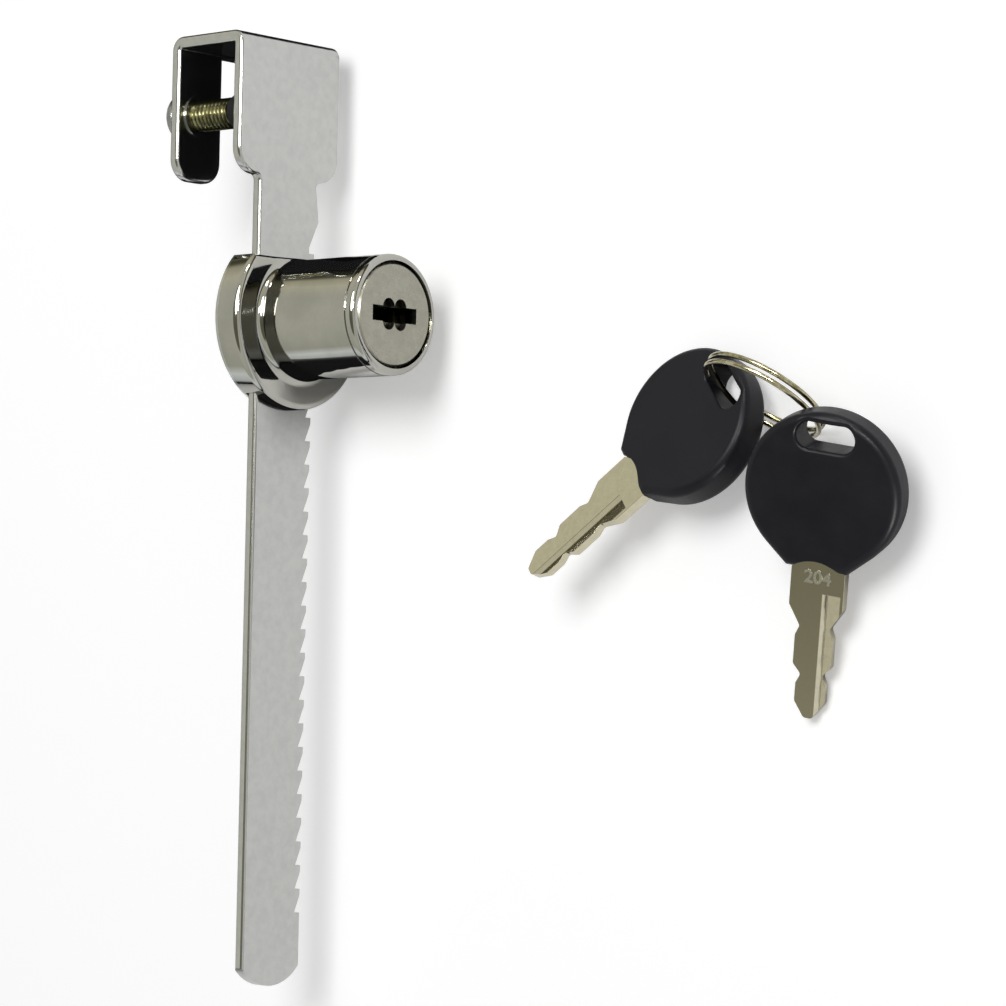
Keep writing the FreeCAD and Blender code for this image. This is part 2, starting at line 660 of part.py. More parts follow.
# The lock head. Its pieces are drawn about the lock's axis and set on the bar.
SCREW_SPOTS = [("cover_screw_y", "cover_screw_z"), ("-cover_screw_y", "cover_screw_z"),
               ("cover_screw_y_low", "-cover_screw_z_low"), ("-cover_screw_y_low", "-cover_screw_z_low")]
BAR_LOW = "(head_drop - strip_half - rail_gap)"
BAR_HIGH = "(head_drop + strip_half + rail_gap)"
TOOTH_A = "(pawl_gap - head_lead)"
TOOTH_B = "(pawl_gap - head_lead - tooth_pitch)"
TOOTH_END = "(tooth_pitch - head_lead - pawl_gap)"


def on_head(thing):
    """Set a piece on the lock's axis."""
    return place(thing, y=HEAD_Y, z=HEAD_Z)


def lock_housing():
    body = new_body("lock_housing")
    turned(body, "housing_section", [
        (COVER_FRONT, "0"), (COVER_FRONT, "flange_r"), ("flange_front", "flange_r"),
        ("flange_front", "barrel_r"),
        ("barrel_front - lip_back - lip_groove", "barrel_r"),
        ("barrel_front - lip_back - lip_groove", "barrel_r - lip_groove_deep"),
        ("barrel_front - lip_back", "barrel_r - lip_groove_deep"),
        ("barrel_front - lip_back", "barrel_r"),
        ("barrel_front", "barrel_r"),
        ("barrel_front", "barrel_r - lip_wall"),
        ("barrel_front - face_deep", "barrel_r - lip_wall"),
        ("barrel_front - face_deep", BORE_R),
        ("wall_front", BORE_R), ("wall_front", "tail_r + tail_gap"),
        ("wall_back", "tail_r + tail_gap"), ("wall_back", "clip_room_r"),
        ("floor_x", "clip_room_r"), ("floor_x", "0")])
    front, lip = number("flange_front"), number("barrel_front")
    flange, barrel = number("flange_r"), number("barrel_r")
    dress(body, "Fillet", "root", "barrel_root",
          lambda edge: rim(edge, front, barrel))
    dress(body, "Fillet", "lip", "lip_round", lambda edge: rim(edge, lip, barrel))
    flat = rectangle(sketch_on(body, "YZ_Plane", "flat", COVER_FRONT),
                     (FLAT, "2 * flange_r"), ("-flange_r", "flange_r"))
    pocket(body, flat, "flange_front + barrel_root - (%s)" % COVER_FRONT)
    level = number(FLAT)
    dress(body, "Fillet", "flange_edge", "flange_rim",
          lambda edge: near(edge, x=front) and (
              (isinstance(edge.Curve, Part.Circle) and abs(edge.Curve.Radius - flange) < 1e-3)
              or (runs(edge, 2) and near(edge, y=level) and abs(edge.CenterOfMass.z) > 1e-3)))
    channel = rectangle(sketch_on(body, "YZ_Plane", "channel", COVER_FRONT),
                        ("-2 * flange_r", "2 * flange_r"), (BAR_LOW, BAR_HIGH))
    pocket(body, channel, "strip_thick + slide_gap - (%s)" % COVER_FRONT)
    room = rectangle(sketch_on(body, "YZ_Plane", "pawl_room", COVER_FRONT),
                     (TOOTH_B + " - pawl_side_gap", TOOTH_END + " + pawl_side_gap"),
                     ("-room_low", BAR_LOW + " + pawl_side_gap"))
    pocket(body, room, "floor_x - (%s)" % COVER_FRONT)
    tab_room = rectangle(sketch_on(body, "YZ_Plane", "tab_room", COVER_FRONT),
                         ("-tab_wide - pawl_side_gap", "tab_wide + pawl_side_gap"),
                         (BAR_LOW + " - pawl_side_gap", "room_top"))
    pocket(body, tab_room, "floor_x - (%s)" % COVER_FRONT)
    half_sweep = "((plug_turn / 2 + stop_play) * 1 deg + asin(tab_half / clip_room_r))"
    reach = "(tab_r + stop_room)"
    along, across = "%s * cos(%s)" % (reach, half_sweep), "%s * sin(%s)" % (reach, half_sweep)
    stops = outline(sketch_on(body, "YZ_Plane", "stops", "floor_x"), [
        ("0", "0"), (along, "-" + across, reach), (along, across)])
    pocket(body, stops, "wall_back - floor_x")
    for at, (y, z) in enumerate(SCREW_SPOTS, 1):
        hole = circle(sketch_on(body, "YZ_Plane", "screw_hole_%d" % at, COVER_FRONT),
                      "cover_screw_r + cover_screw_gap", y, z)
        pocket(body, hole, "cover_screw_deep - cover_thick + 2 * cover_screw_gap")
    return node(on_head(body), "lock_housing")


def back_cover():
    back = COVER_FRONT + " - cover_thick"
    disc = rod("cover_disc", "flange_r", (back + " + cover_edge", COVER_FRONT))
    edge = cone("cover_bevel", ("flange_r - cover_edge", "flange_r"), (back, back + " + cover_edge"))
    tools = [box("cover_flat", (back, COVER_FRONT), (FLAT, "2 * flange_r"),
                 ("-flange_r", "flange_r"))]
    for at, (y, z) in enumerate(SCREW_SPOTS, 1):
        tools.append(rod("cover_hole_%d" % at, "cover_screw_r + cover_screw_gap",
                         (back, COVER_FRONT), y, z))
        tools.append(cone("cover_sink_%d" % at,
                          ("cover_screw_head_r + cover_screw_gap", "cover_screw_r + cover_screw_gap"),
                          (back, back + " + cover_screw_head_r - cover_screw_r"), y, z))
    plate = cut("back_cover", fuse("cover_blank", [disc, edge]), tools)
    return node(on_head(plate), "back_cover")


def cover_screws():
    back = COVER_FRONT + " - cover_thick + cover_screw_gap"
    head = "cover_screw_head_r - cover_screw_r"
    screws = []
    for at, (y, z) in enumerate(SCREW_SPOTS, 1):
        flat_head = cone("flat_head_%d" % at, ("cover_screw_head_r", "cover_screw_r"),
                         (back, "%s + %s" % (back, head)), y, z)
        shank = rod("shank_%d" % at, "cover_screw_r",
                    ("%s + %s" % (back, head), "%s + cover_screw_deep" % back), y, z)
        slots = []
        for name, long_y, long_z in (("a", "cover_cross_long", "cover_cross_wide"),
                                     ("b", "cover_cross_wide", "cover_cross_long")):
            slots.append(box("cross_%s_%d" % (name, at),
                             (back, back + " + cover_screw_r / 2"),
                             ("%s - cover_screw_r * %s" % (y, long_y), "%s + cover_screw_r * %s" % (y, long_y)),
                             ("%s - cover_screw_r * %s" % (z, long_z), "%s + cover_screw_r * %s" % (z, long_z))))
        screws.append(cut("cover_screw_%d" % at,
                          fuse("screw_blank_%d" % at, [flat_head, shank]), slots))
    group = doc.addObject("Part::Compound", "cover_screws")
    group.Links = screws
    return node(on_head(group), "cover_screws")


# The plug, its wafers and what is on its tail
FACE = "(barrel_front - plug_sink)"
FACE_BACK = "(barrel_front - face_deep + plug_end_gap)"
CORE_BACK = "(wall_front + plug_end_gap)"
GROOVE_FRONT = "(floor_x + clip_lip + clip_groove)"
WASHER_BACK = "(%s + washer_gap)" % GROOVE_FRONT
WAFER_MID = "(wafer_first + wafer_gap + wafer_thick / 2)"


def plug():
    body = new_body("plug")
    turned(body, "plug_section", [
        ("floor_x", "0"), ("floor_x", "tail_r"), ("floor_x + clip_lip", "tail_r"),
        ("floor_x + clip_lip", "clip_groove_r"), (GROOVE_FRONT, "clip_groove_r"),
        (GROOVE_FRONT, "tail_r"), (CORE_BACK, "tail_r"), (CORE_BACK, "plug_core_r"),
        (FACE_BACK, "plug_core_r"), (FACE_BACK, FACE_R), (FACE, FACE_R), (FACE, "0")])
    face, radius = number(FACE), number(FACE_R)
    dress(body, "Chamfer", "face_bevel", "plug_bevel", lambda edge: rim(edge, face, radius))
    for name, low, high in (("flat_up", "tail_flat", "tail_r + bore_gap"),
                            ("flat_down", "-tail_r - bore_gap", "-tail_flat")):
        flat = rectangle(sketch_on(body, "YZ_Plane", name, "floor_x"), (low, high), ("-tail_r", "tail_r"))
        pocket(body, flat, "%s + washer_thick + washer_gap - floor_x" % WASHER_BACK)
    keyway = rectangle(sketch_on(body, "YZ_Plane", "keyway", "keyway_floor"),
                       ("-keyway_wide", "keyway_wide"), ("-keyway_half", "keyway_half"))
    pocket(body, keyway, "barrel_front - keyway_floor")
    for at, (y, z) in enumerate((("clover_y", "clover_z"), ("-clover_y", "clover_z"),
                                 ("-clover_y", "-clover_z"), ("clover_y", "-clover_z")), 1):
        lobe = circle(sketch_on(body, "YZ_Plane", "lobe_%d" % at, FACE + " - clover_deep"),
                      "clover_r", y, z)
        pocket(body, lobe, "clover_deep + plug_sink")
    drive = circle(sketch_on(body, "YZ_Plane", "drive_hole", "floor_x"), "drive_r + drive_fit",
                   "-drive_off", "-drive_off")
    pocket(body, drive, "drive_hold + plug_end_gap")
    slot = rectangle(sketch_on(body, "YZ_Plane", "wafer_slot", "wafer_first"),
                     ("-wafer_half_y - wafer_gap", "wafer_half_y + wafer_gap"),
                     ("-" + FACE_R, FACE_R))
    slot_cut = pocket(body, slot, "wafer_thick + 2 * wafer_gap")
    ear = rectangle(sketch_on(body, "YZ_Plane", "ear_slot", "wafer_first"),
                    ("wafer_half_y", "ear_y + wafer_gap"),
                    ("ear_low - wafer_gap", "ear_high + ear_lift"))
    ear_cut = pocket(body, ear, "wafer_thick + 2 * wafer_gap")
    well = circle(sketch_on(body, "XY_Plane", "spring_well", "-spring_floor"),
                  "spring_pocket_r", WAFER_MID, "spring_y")
    well_cut = pocket(body, well, "spring_floor + ear_low")
    row_of(body, "wafer_row", [slot_cut, ear_cut, well_cut], ("X_Axis", "wafer_pitch"), "wafer_count")
    return node(on_head(body), "plug")


def drive_pin():
    pin = rod("drive_pin", "drive_r", ("strip_thick + slide_gap + pawl_gap", "floor_x + drive_hold"),
              HEAD_Y + " - drive_off", HEAD_Z + " - drive_off")
    return node(pin, "drive_pin")


def stop_washer():
    front = "%s + washer_thick" % WASHER_BACK
    ring = rod("washer_ring", "washer_r", (WASHER_BACK, front))
    tab = box("washer_tab", (WASHER_BACK, front), ("washer_r - tab_half", "tab_r"), ("-tab_half", "tab_half"))
    eye = common("washer_eye", rod("eye_round", "tail_r + washer_gap", (WASHER_BACK, front)),
                 box("eye_flats", (WASHER_BACK, front),
                     ("-tail_flat - washer_gap", "tail_flat + washer_gap"), ("-washer_r", "washer_r")))
    turn_tab = doc.addObject("Part::Compound", "tab_at_rest")
    turn_tab.Links = [tab]
    turn_tab.Placement = Placement(Vector(), Rotation(Vector(1, 0, 0), 45))
    bind(turn_tab, Placement__Rotation__Angle="plug_turn / 2")
    plate = cut("stop_washer", fuse("washer_blank", [ring, turn_tab]), [eye])
    return node(on_head(plate), "stop_washer")


def retaining_clip():
    back = "floor_x + clip_lip + (clip_groove - clip_thick) / 2"
    span = (back, back + " + clip_thick")
    tools = [rod("clip_eye", "clip_groove_r + washer_gap", span),
             box("clip_opening", span, ("-clip_mouth", "clip_mouth"), ("0", "clip_r"))]
    return node(on_head(cut("retaining_clip", rod("clip_ring", "clip_r", span), tools)),
                "retaining_clip")


def wafer(at):
    back = "wafer_first + wafer_gap + wafer_pitch * %d" % at
    span = (back, back + " + wafer_thick")
    plate = common("wafer_plate_%d" % (at + 1), rod("wafer_round_%d" % (at + 1), "wafer_r", span),
                   box("wafer_blank_%d" % (at + 1), span, ("-wafer_half_y", "wafer_half_y"),
                       ("-wafer_half_z", "wafer_half_z")))
    ear = box("wafer_ear_%d" % (at + 1), span, ("window_y", "ear_y"), ("ear_low", "ear_high"))
    window = box("wafer_window_%d" % (at + 1), span, ("-window_y", "window_y"),
                 ("%s - window_z" % BITTING[at], "%s + window_z" % BITTING[at]))
    piece = cut("wafer_%d" % (at + 1), fuse("wafer_whole_%d" % (at + 1), [plate, ear]), [window])
    return node(on_head(piece), "wafer_%d" % (at + 1))


def wafer_spring(at):
    name = "wafer_spring_%d" % (at + 1)
    length = number("spring_floor + ear_low - 2 * seat_gap")
    spring = coil(name, number("spring_r"), number("spring_wire_r"), length, number("spring_turns"))
    place(spring, "%s + wafer_pitch * %d" % (WAFER_MID, at), HEAD_Y + " + spring_y",
          HEAD_Z + " - spring_floor + seat_gap")
    return node(spring, name)


# The pawl and its spring
PAWL_TIP = "(head_drop - strip_half + tooth_depth - pawl_tip_gap - %s)" % PAWL_TRAVEL
PAWL_LOW = "(head_drop - pawl_low)"
PAWL_FALL = "(tooth_depth / (tooth_pitch - tooth_flat))"


def pawl():
    body = new_body("pawl")
    teeth = outline(sketch_on(body, "YZ_Plane", "pawl_teeth", "pawl_back"), [
        (TOOTH_A, PAWL_TIP),
        (TOOTH_END, "%s - %s * (%s - %s)" % (PAWL_TIP, PAWL_FALL, TOOTH_END, TOOTH_A)),
        (TOOTH_END, PAWL_LOW), (TOOTH_B, PAWL_LOW), (TOOTH_B, PAWL_TIP),
        (TOOTH_A, "%s - %s * tooth_pitch" % (PAWL_TIP, PAWL_FALL))])
    pad(body, teeth, "pawl_thin")
    foot = rectangle(sketch_on(body, "YZ_Plane", "pawl_foot_face", "pawl_back"),
                     (TOOTH_B, TOOTH_END), (PAWL_LOW, PAWL_LOW + " + pawl_foot"))
    pad(body, foot, "pawl_thick")
    tab = rectangle(sketch_on(body, "YZ_Plane", "pawl_tab", "tab_back"),
                    ("-tab_wide", "tab_wide"), (PAWL_LOW, "tab_top"))
    pad(body, tab, "tab_thick")
    slot = rectangle(sketch_on(body, "YZ_Plane", "pin_slot", "tab_back"),
                     ("-slot_mid - slot_half", "slot_half - slot_mid"),
                     ("-drive_off - drive_r - slot_gap", "drive_r + slot_gap - drive_off"))
    pocket(body, slot, "tab_thick")
    return node(on_head(body), "pawl")


def pawl_spring():
    length = number("room_low + %s - 2 * seat_gap" % PAWL_LOW)
    spring = coil("pawl_spring", number("pawl_spring_r"), number("pawl_wire_r"), length,
                  number("pawl_turns"))
    place(spring, "pawl_back + pawl_thick / 2", HEAD_Y + " + (%s + %s) / 2" % (TOOTH_B, TOOTH_END),
          HEAD_Z + " - room_low + seat_gap")
    return node(spring, "pawl_spring")


# The keys. Each is drawn with its blade along -y and its broad faces across z.
def key_pose(thing, key):
    """Lay a key's piece where the key lies."""
    yaw, lift, roll = (number("%s_%s" % (key, turn)) for turn in ("yaw", "lift", "roll"))
    turn = (Rotation(Vector(0, 0, 1), yaw) * Rotation(Vector(1, 0, 0), lift)
            * Rotation(Vector(0, 1, 0), roll))
    thing.Placement = Placement(Vector(), turn)
    return place(thing, key + "_x", "-%s_y" % key, "%s + %s_rise" % (SURFACE, key))


HALF_ROUND = "(hole_r * 1.00001)"  # a half round needs a hair more than half its width


def key_bow(key):
    body = new_body(key + "_bow")
    disc = circle(sketch_on(body, "XY_Plane", key + "_disc", "-bow_half"), "bow_r")
    pad(body, disc, "2 * bow_half")
    side, drop = "bow_r * cos(chin_angle)", "-bow_r * sin(chin_angle)"
    chin = outline(sketch_on(body, "XY_Plane", key + "_chin", "-bow_half"), [
        (side, drop), ("0", "0"), ("-" + side, drop), ("-chin_half", "-chin_drop"),
        ("chin_half", "-chin_drop")])
    pad(body, chin, "2 * bow_half")
    half = number("bow_half")
    dress(body, "Fillet", key + "_rims", "bow_rim", lambda edge: abs(abs(edge.CenterOfMass.z) - half) < 1e-3)
    arch = circle(sketch_on(body, "XY_Plane", key + "_arch", "-bow_half"), "arch_r", "0", "-arch_top - arch_r")
    pocket(body, arch, "2 * bow_half")
    hole = outline(sketch_on(body, "XY_Plane", key + "_hole", "-bow_half"), [
        ("hole_r - hole_half", "hole_mid - hole_r"),
        ("hole_half - hole_r", "hole_mid - hole_r", HALF_ROUND),
        ("hole_half - hole_r", "hole_mid + hole_r"),
        ("hole_r - hole_half", "hole_mid + hole_r", HALF_ROUND)])
    pocket(body, hole, "2 * bow_half")
    low, high = number("hole_mid - hole_r - 0.01"), number("hole_mid + hole_r + 0.01")
    dress(body, "Fillet", key + "_hole_rims", "hole_rim",
          lambda edge: abs(abs(edge.CenterOfMass.z) - half) < 1e-3 and low < edge.CenterOfMass.y < high)
    tang = rectangle(sketch_on(body, "XY_Plane", key + "_socket", "-blade_half - tang_gap"),
                     ("-tang_half - tang_gap", "tang_half + tang_gap"),
                     ("-arch_top - arch_r / 2", "tang_gap - tang_top"))
    pocket(body, tang, "2 * (blade_half + tang_gap)")
    return node(key_pose(body, key), key + "_bow")


def key_blade(key):
    body = new_body(key + "_blade")
    right = [("blade_wide", "-arch_top - arch_r + sqrt((arch_r - tang_gap) ^ 2 - blade_wide ^ 2)"),
             ("blade_wide", "-blade_step"),
             ("blade_cut_a", "-cut_a"), ("blade_land", "-cut_a - cut_slope"),
             ("blade_land", "cut_slope - cut_b"), ("blade_cut_b", "-cut_b"),
             ("blade_end", "-cut_b - cut_slope"), ("blade_end", "-blade_taper"),
             ("blade_nose", "-blade_tip")]
    left = [("-" + across, along) for across, along in reversed(right)]
    left[-1] = left[-1] + ("-(arch_r - tang_gap)",)
    blade = outline(sketch_on(body, "XY_Plane", key + "_blank", "-blade_half"), right + left)
    pad(body, blade, "2 * blade_half")
    step = number("blade_step")
    dress(body, "Fillet", key + "_corners", "blade_round",
          lambda edge: runs(edge, 2) and edge.CenterOfMass.y < 0.1 - step)
    tang = rectangle(sketch_on(body, "XY_Plane", key + "_tang", "-blade_half"),
                     ("-tang_half", "tang_half"), ("-arch_top - arch_r / 2", "-tang_top"))
    pad(body, tang, "2 * blade_half")
    for name, side in (("_groove_front", ""), ("_groove_back", "-")):
        far, clear = side + "(mill_near + mill_wide)", side + "(blade_half + mill_deep)"
        groove = outline(sketch_on(body, "XZ_Plane", key + name, "mill_start"), [
            (side + "(mill_near - mill_slope)", clear),
            (side + "(mill_near + mill_slope)", side + "(blade_half - mill_deep)"),
            (far, side + "(blade_half - mill_far)"), (far, clear)])
        pocket(body, groove, "mill_stop - mill_start")
    return node(key_pose(body, key), key + "_blade")


def split_ring():
    radius, apart = number("ring_r"), number("ring_apart")
    jog, jog_at = math.radians(number("ring_jog")), math.radians(number("ring_jog_at"))
    start = jog_at + jog / 2
    whole = 4 * math.pi - jog

    def offset(angle):
        """Height of the wire along the ring's axis, and its rate of change."""
        into = (angle - (2 * math.pi - jog)) / jog
        if into <= 0:
            return -apart / 2, 0
        if into >= 1:
            return apart / 2, 0
        rise = apart * (into * into * (3 - 2 * into) - 0.5)
        return rise, apart * 6 * into * (1 - into) / jog

    def route(share):
        angle = whole * share
        rise, _ = offset(angle)
        return Vector(radius * math.cos(start + angle), radius * math.sin(start + angle), rise)

    def heading(share):
        angle = whole * share
        _, climb = offset(angle)
        return Vector(-radius * math.sin(start + angle), radius * math.cos(start + angle), climb).normalize()

    steps = int(round(math.degrees(whole) / 30))
    solid, spine = wire_solid(route, heading, steps, number("ring_wire_r"))
    least_gap("split_ring", spine, number("ring_wire_r"), radius)
    ring = doc.addObject("Part::Feature", "split_ring")
    ring.Shape = solid
    yaw, dip = math.radians(number("ring_yaw")), math.radians(number("ring_dip"))
    axis = Vector(math.cos(yaw) * math.cos(dip), math.sin(yaw) * math.cos(dip), -math.sin(dip))
    ring.Placement = Placement(Vector(), Rotation(Vector(0, 0, 1), axis))
    place(ring, "ring_x", "-ring_y", "%s + ring_rise" % SURFACE)
    return node(ring, "split_ring")


toothed_bar()
pressure_pad()
clamp_screw()
lock_housing()
back_cover()
cover_screws()
plug()
drive_pin()
stop_washer()
retaining_clip()
for at in range(int(number("wafer_count"))):
    wafer(at)
    wafer_spring(at)
pawl()
pawl_spring()
for key in ("key_1", "key_2"):
    key_bow(key)
    key_blade(key)
split_ring()

doc.recompute()
for thing in doc.Objects:
    if "Invalid" in thing.State or "Error" in thing.State:
        raise RuntimeError("%s failed" % thing.Label)
for thing in nodes:
    if thing.Shape.isNull() or not thing.Shape.isValid() or not thing.Shape.Solids:
        raise RuntimeError("%s has no sound shape" % thing.Label)

os.makedirs("parts", exist_ok=True)
for thing in nodes:
    thing.Shape.exportStep("parts/%s.step" % thing.Label)
print("%d pieces written" % len(nodes))
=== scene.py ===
"""Looks of a ratchet lock for sliding glass doors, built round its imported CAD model.

The lock is a plated steel strip with saw teeth and a hook, a clamp screw with a rubber
pad, a die-cast chrome head with its plug, and two keys with black bows on a split ring.
Everything is in metres and in the CAD model's frame: x out of the front of the lock,
y along the bar towards the hook and z up from the surface that it all lies on.
"""

import logging
from dataclasses import dataclass
from enum import Enum
from typing import Any, ClassVar

import bmesh
import bpy
import numpy as np
from mathutils import Matrix, Vector


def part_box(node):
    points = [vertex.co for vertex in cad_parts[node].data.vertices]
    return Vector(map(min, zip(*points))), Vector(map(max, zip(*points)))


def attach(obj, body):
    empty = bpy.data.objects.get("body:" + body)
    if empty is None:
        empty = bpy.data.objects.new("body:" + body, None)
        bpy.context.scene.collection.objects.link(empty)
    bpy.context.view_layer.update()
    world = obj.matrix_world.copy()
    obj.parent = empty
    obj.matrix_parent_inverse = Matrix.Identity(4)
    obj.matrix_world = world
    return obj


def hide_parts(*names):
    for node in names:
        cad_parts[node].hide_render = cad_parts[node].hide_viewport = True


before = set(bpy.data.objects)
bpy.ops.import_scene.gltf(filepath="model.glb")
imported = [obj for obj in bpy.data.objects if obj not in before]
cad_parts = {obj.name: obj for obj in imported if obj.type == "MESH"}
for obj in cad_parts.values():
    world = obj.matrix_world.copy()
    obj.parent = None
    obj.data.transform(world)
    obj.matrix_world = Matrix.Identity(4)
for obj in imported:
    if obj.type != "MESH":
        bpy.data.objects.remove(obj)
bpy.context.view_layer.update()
MM = 0.001
log = logging.getLogger("showcase_lock")

Tree = bpy.types.NodeTree
Socket = bpy.types.NodeSocket
Shape = tuple[np.ndarray, np.ndarray]
Triple = tuple[float, float, float]
Stop = tuple[float, str]

# An edge of the CAD model that bends more than this is broken, with this many facets
SHARP_DEGREES = 32.0
EASE_FACETS = 2
# Points of a CAD mesh this close are one point, and faces that bend less than this are one face
CAD_MERGE_MM = 0.0004
FLAT_DEGREES = 0.05
# Points of a new mesh this close are one point
MERGE_MM = 0.0005


# Colours, nodes and meshes
def linear(colour: str) -> tuple[float, float, float, float]:
    """Turn an sRGB hex colour into linear red, green, blue and alpha.

    Args:
        colour: six hex digits after a hash sign.

    Returns:
        The four linear values that a shader's colour socket takes.
    """
    parts = np.array([int(colour[at:at + 2], 16) for at in (1, 3, 5)]) / 255
    parts = np.where(parts <= 0.04045, parts / 12.92, ((parts + 0.055) / 1.055) ** 2.4)
    return (*(float(part) for part in parts), 1.0)


def add_node(tree: Tree, kind: str, sockets: dict[str | int, Any] | None = None,
             **settings: Any) -> bpy.types.Node:
    """Add one node, with its settings, its values and its links.

    Args:
        tree: the node tree that gets the node.
        kind: Blender's name for the node's type.
        sockets: what each input gets, a value or another node's output.
        settings: the node's own settings.

    Returns:
        The new node.
    """
    node = tree.nodes.new(kind)
    for name, value in settings.items():
        setattr(node, name, value)
    for name, value in (sockets or {}).items():
        if isinstance(value, Socket):
            tree.links.new(value, node.inputs[name])
        else:
            node.inputs[name].default_value = value
    return node


def colours_along(tree: Tree, share: Socket, *stops: Stop) -> Socket:
    """Blend sRGB colours along a share that runs from nought to one.

    Args:
        tree: the node tree to add to.
        share: the socket that carries the share.
        stops: each colour's place along the share, and the colour.

    Returns:
        The blended colour's socket.
    """
    node = add_node(tree, "ShaderNodeValToRGB", {"Fac": share})
    elements = node.color_ramp.elements
    elements.remove(elements[1])
    elements[0].position = stops[0][0]
    elements[0].color = linear(stops[0][1])
    for at, colour in stops[1:]:
        elements.new(at).color = linear(colour)
    return node.outputs["Color"]


def blank_material(name: str) -> tuple[bpy.types.Material, Tree]:
    """Make a material with no nodes.

    Args:
        name: the material's name.

    Returns:
        The material and its node tree.
    """
    material = bpy.data.materials.new(name)
    material.use_nodes = True
    material.node_tree.nodes.clear()
    return material, material.node_tree


def mesh_from(name: str, points: np.ndarray, faces: np.ndarray) -> bpy.types.Object:
    """Make an object of points in millimetres and faces.

    Args:
        name: the object's name.
        points: an array of points, one row each.
        faces: an array of point numbers, one row for each face.

    Returns:
        The object, at the origin and linked to the scene.
    """
    mesh = bpy.data.meshes.new(name)
    mesh.from_pydata((points * MM).tolist(), [], faces.tolist())
    mesh.validate()
    piece = bpy.data.objects.new(name, mesh)
    bpy.context.scene.collection.objects.link(piece)
    return piece


def tube_faces(rings: int, points: int) -> np.ndarray:
    """Number the quads between rings of points.

    Point p of ring r has the number r * points + p, and each quad joins points p and p + 1
    of two neighbouring rings, with the last point joined to the first.

    Args:
        rings: how many rings there are.
        points: how many points each ring has.

    Returns:
        One row of four point numbers for each quad.
    """
    ring = np.arange(rings - 1)[:, None] * points
    point = np.arange(points)[None, :]
    after = (point + 1) % points
    corners = (ring + point, ring + points + point, ring + points + after, ring + after)
    return np.stack(corners, -1).reshape(-1, 4)


def sharpen(mesh: bpy.types.Mesh, degrees: float) -> None:
    """Shade a mesh smooth, but for edges bent more than an angle."""
    mesh.shade_smooth()
    mesh.set_sharp_from_angle(angle=float(np.radians(degrees)))


def outward(piece: bpy.types.Object) -> None:
    """Merge a mesh's doubles and point its faces outwards.

    Args:
        piece: the object whose mesh is mended.
    """
    work = bmesh.new()
    work.from_mesh(piece.data)
    bmesh.ops.remove_doubles(work, verts=work.verts, dist=MERGE_MM * MM)
    bmesh.ops.recalc_face_normals(work, faces=work.faces)
    work.to_mesh(piece.data)
    work.free()


def eased_copy(node: str, ease_mm: float) -> bpy.types.Object:
    """Copy a CAD node with its sharp edges broken, as tumbling and plating leave them.

    Args:
        node: the CAD node's name.
        ease_mm: width of the broken edge.

    Returns:
        A new object with the copy as its mesh.
    """
    work = bmesh.new()
    work.from_mesh(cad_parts[node].data)
    bmesh.ops.remove_doubles(work, verts=work.verts, dist=CAD_MERGE_MM * MM)
    bmesh.ops.dissolve_limit(work, angle_limit=float(np.radians(FLAT_DEGREES)),
                             verts=work.verts, edges=work.edges)
    mesh = bpy.data.meshes.new(node + "_eased")
    work.to_mesh(mesh)
    work.free()
    if "custom_normal" in mesh.attributes:
        mesh.attributes.remove(mesh.attributes["custom_normal"])
    sharpen(mesh, SHARP_DEGREES)
    piece = bpy.data.objects.new(node + "_eased", mesh)
    bpy.context.scene.collection.objects.link(piece)
    ease = piece.modifiers.new("broken_edges", "BEVEL")
    ease.width = ease_mm * MM
    ease.segments = EASE_FACETS
    ease.limit_method = "ANGLE"
    ease.angle_limit = float(np.radians(SHARP_DEGREES))
    ease.harden_normals = True
    ease.use_clamp_overlap = True
    return piece


# Finishes
class Grain(Enum):
    """Which way a metal's fine lines run."""

    ALONG_BAR = (1.0, 0.02, 1.0)
    ACROSS_BAR = (1.0, 1.0, 0.03)
    ROUND = (1.0, 1.0, 1.0)


